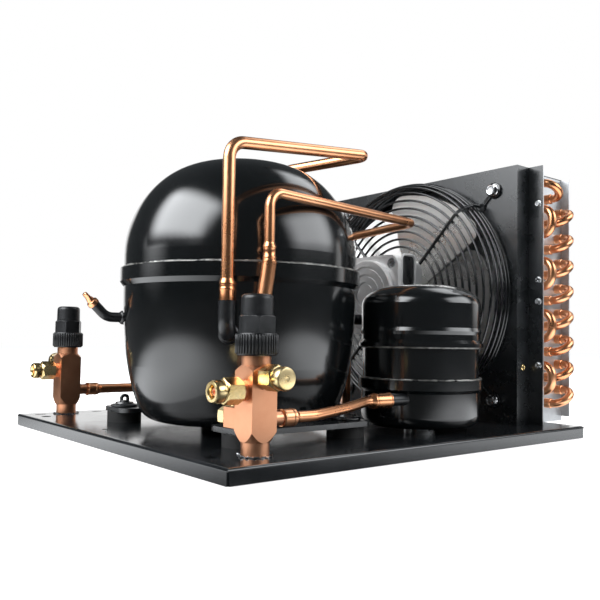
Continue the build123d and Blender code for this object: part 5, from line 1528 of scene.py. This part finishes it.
# %% Receiver welds
upper_seam_z = 0.0840
lower_seam_z = 0.0566
seam_bead = 1.0
seam_steps = 260
receiver_low, receiver_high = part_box("receiver_tube")
receiver_centre = Vector(
    ((receiver_low[0] + receiver_high[0]) / 2, (receiver_low[1] + receiver_high[1]) / 2, 0)
)


def add_weld(bm, centre, radius, size, steps, seed):
    """A rippled bead round a vertical axis, with a radius and a size in mm."""
    rings = []
    for k in range(steps):
        angle = 2 * pi * k / steps
        outward = Vector((cos(angle), sin(angle), 0))
        quick = noise.noise(outward * 40 + Vector((0, 0, seed)))
        slow = noise.noise(outward * 5 + Vector((0, 0, seed)))
        across = size * (1 + 0.35 * quick + 0.2 * slow)
        middle = centre + outward * (radius + 0.2 * quick) * MM
        middle.z += 0.3 * slow * MM
        ring = []
        for n in range(bead_sides):
            turn = 2 * pi * n / bead_sides
            offset = outward * cos(turn) * across + Vector((0, 0, sin(turn) * across))
            ring.append(bm.verts.new(middle + offset * MM))
        rings.append(ring)
    close_rings(bm, rings)


def build_receiver_welds(bm):
    """The bead under the upper cap's lip and the one above the lower cap's lip."""
    add_weld(bm, receiver_centre + Vector((0, 0, upper_seam_z)), 52.6, seam_bead, seam_steps, 3)
    add_weld(bm, receiver_centre + Vector((0, 0, lower_seam_z)), 52.9, seam_bead, seam_steps, 9)


receiver_welds = mesh_from(build_receiver_welds, "receiver_welds", sharp=80)
add_piece("receiver_weld_lines", receiver_welds, "unit", weld, "weld")

# %% [markdown]
# ## Compressor mounts
# The compressor shakes, so it stands on rubber grommets, each held by a washer and by a pin
# whose top is looped for a clip. The washer and the pin are lathed, and the repeat tree sets
# them on the four mounts. The loop is wire, so it is drawn at each mount and the wire tree
# bends it.

# %% Mount washers
low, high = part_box("mounting_washers")
washer_rim = 12.5
mount_inset = washer_rim * MM
mount_spots = [
    (x, y, low[2])
    for x in (low[0] + mount_inset, high[0] - mount_inset)
    for y in (low[1] + mount_inset, high[1] - mount_inset)
]


def build_mount_washer(bm):
    """A thick washer, dished at its rim, with the pin's head through it."""
    profile = [(4.6, 0), (11.6, 0), (washer_rim, 0.8), (washer_rim, 1.7)]
    profile += [(11.9, 2.3), (8.6, 2.9), (8.0, 4.3), (4.6, 4.3)]
    add_turned(bm, profile, Matrix.Identity(4), sides=56, hollow=True)


washers = repeated_mesh(mesh_from(build_mount_washer, "washer"), mount_spots, satin_black)
add_piece("mount_washers", washers, "unit", satin_black, "black_sheet", "mounting_washers")

# %% Mount pins
loop_half = 0.0031
loop_wire = 1.6
loop_bend = 2.6


def build_mount_pin(bm):
    """The pin from its head under the pan up to just above the washer."""
    profile = [(0, -21.3), (7.0, -21.3), (7.0, -18.3), (4.5, -18.3), (4.5, 5.2), (4.1, 5.8), (0, 5.8)]
    add_turned(bm, profile, Matrix.Identity(4), sides=36)


loop_paths = []
for x, y, z in mount_spots:
    left, right_leg = x - loop_half, x + loop_half
    foot, peak = z + 4.8 * MM, z + 10.2 * MM
    loop_paths.append([(left, y, foot), (left, y, peak), (right_leg, y, peak), (right_leg, y, foot)])
loops = wire_mesh(loop_paths, loop_wire, loop_bend, stub_black, sides=12)
pins = repeated_mesh(mesh_from(build_mount_pin, "pin"), mount_spots, stub_black)
add_piece("mount_pins", joined("pins", pins, loops), "unit", stub_black, "black_stub", "mounting_pins")

# %% [markdown]
# ## Filling tube tip
# Refrigerant goes in through a short tube, which is then nipped flat and brazed shut. A
# lathe can't flatten, and a scaled cylinder would flatten all along. So each row is an oval
# with its own width and thickness, from round at the collar to thin at the nip.

# %% Filling tube tip
tip_sides = 32
end_inset = 1.2
start_inset = 3.2
low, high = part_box("process_tube_tip")
tip_y = (low[1] + high[1]) / 2
tip_end = Vector((low[0] + end_inset * MM, tip_y, high[2] - end_inset * MM))
tip_start = Vector((high[0] - start_inset * MM, tip_y, low[2] + start_inset * MM))


def build_tip(bm):
    """A collar, then a copper end that is nipped, brazed shut and rounded."""
    length = (tip_end - tip_start).length / MM
    place = turned_frame(tip_start, tip_end - tip_start, (0, 1, 0))
    collar = [(0, -1.0), (4.9, -1.0), (5.1, 0), (4.9, 2.6), (4.2, 3.4), (0, 3.4)]
    add_turned(bm, collar, place, sides=tip_sides)
    shape = [(3.3, 3.3, 3.3), (5.0, 3.4, 3.2), (7.0, 3.8, 2.3)]
    shape += [(9.0, 4.0, 1.9), (11.0, 3.7, 2.0), (12.2, 2.8, 1.7)]
    turn = [2 * pi * k / tip_sides for k in range(tip_sides)]
    rows = []
    for height, wide, thick in shape:
        rows.append([(wide * cos(a), thick * sin(a), min(height, length)) for a in turn])
    rows.append([(0, 0, min(12.9, length + 0.6))])
    add_rows(bm, rows, place)


tip = mesh_from(build_tip, "tip", sharp=50)
add_piece("filling_tube_tip", tip, "unit", copper, "copper", "process_tube_tip")
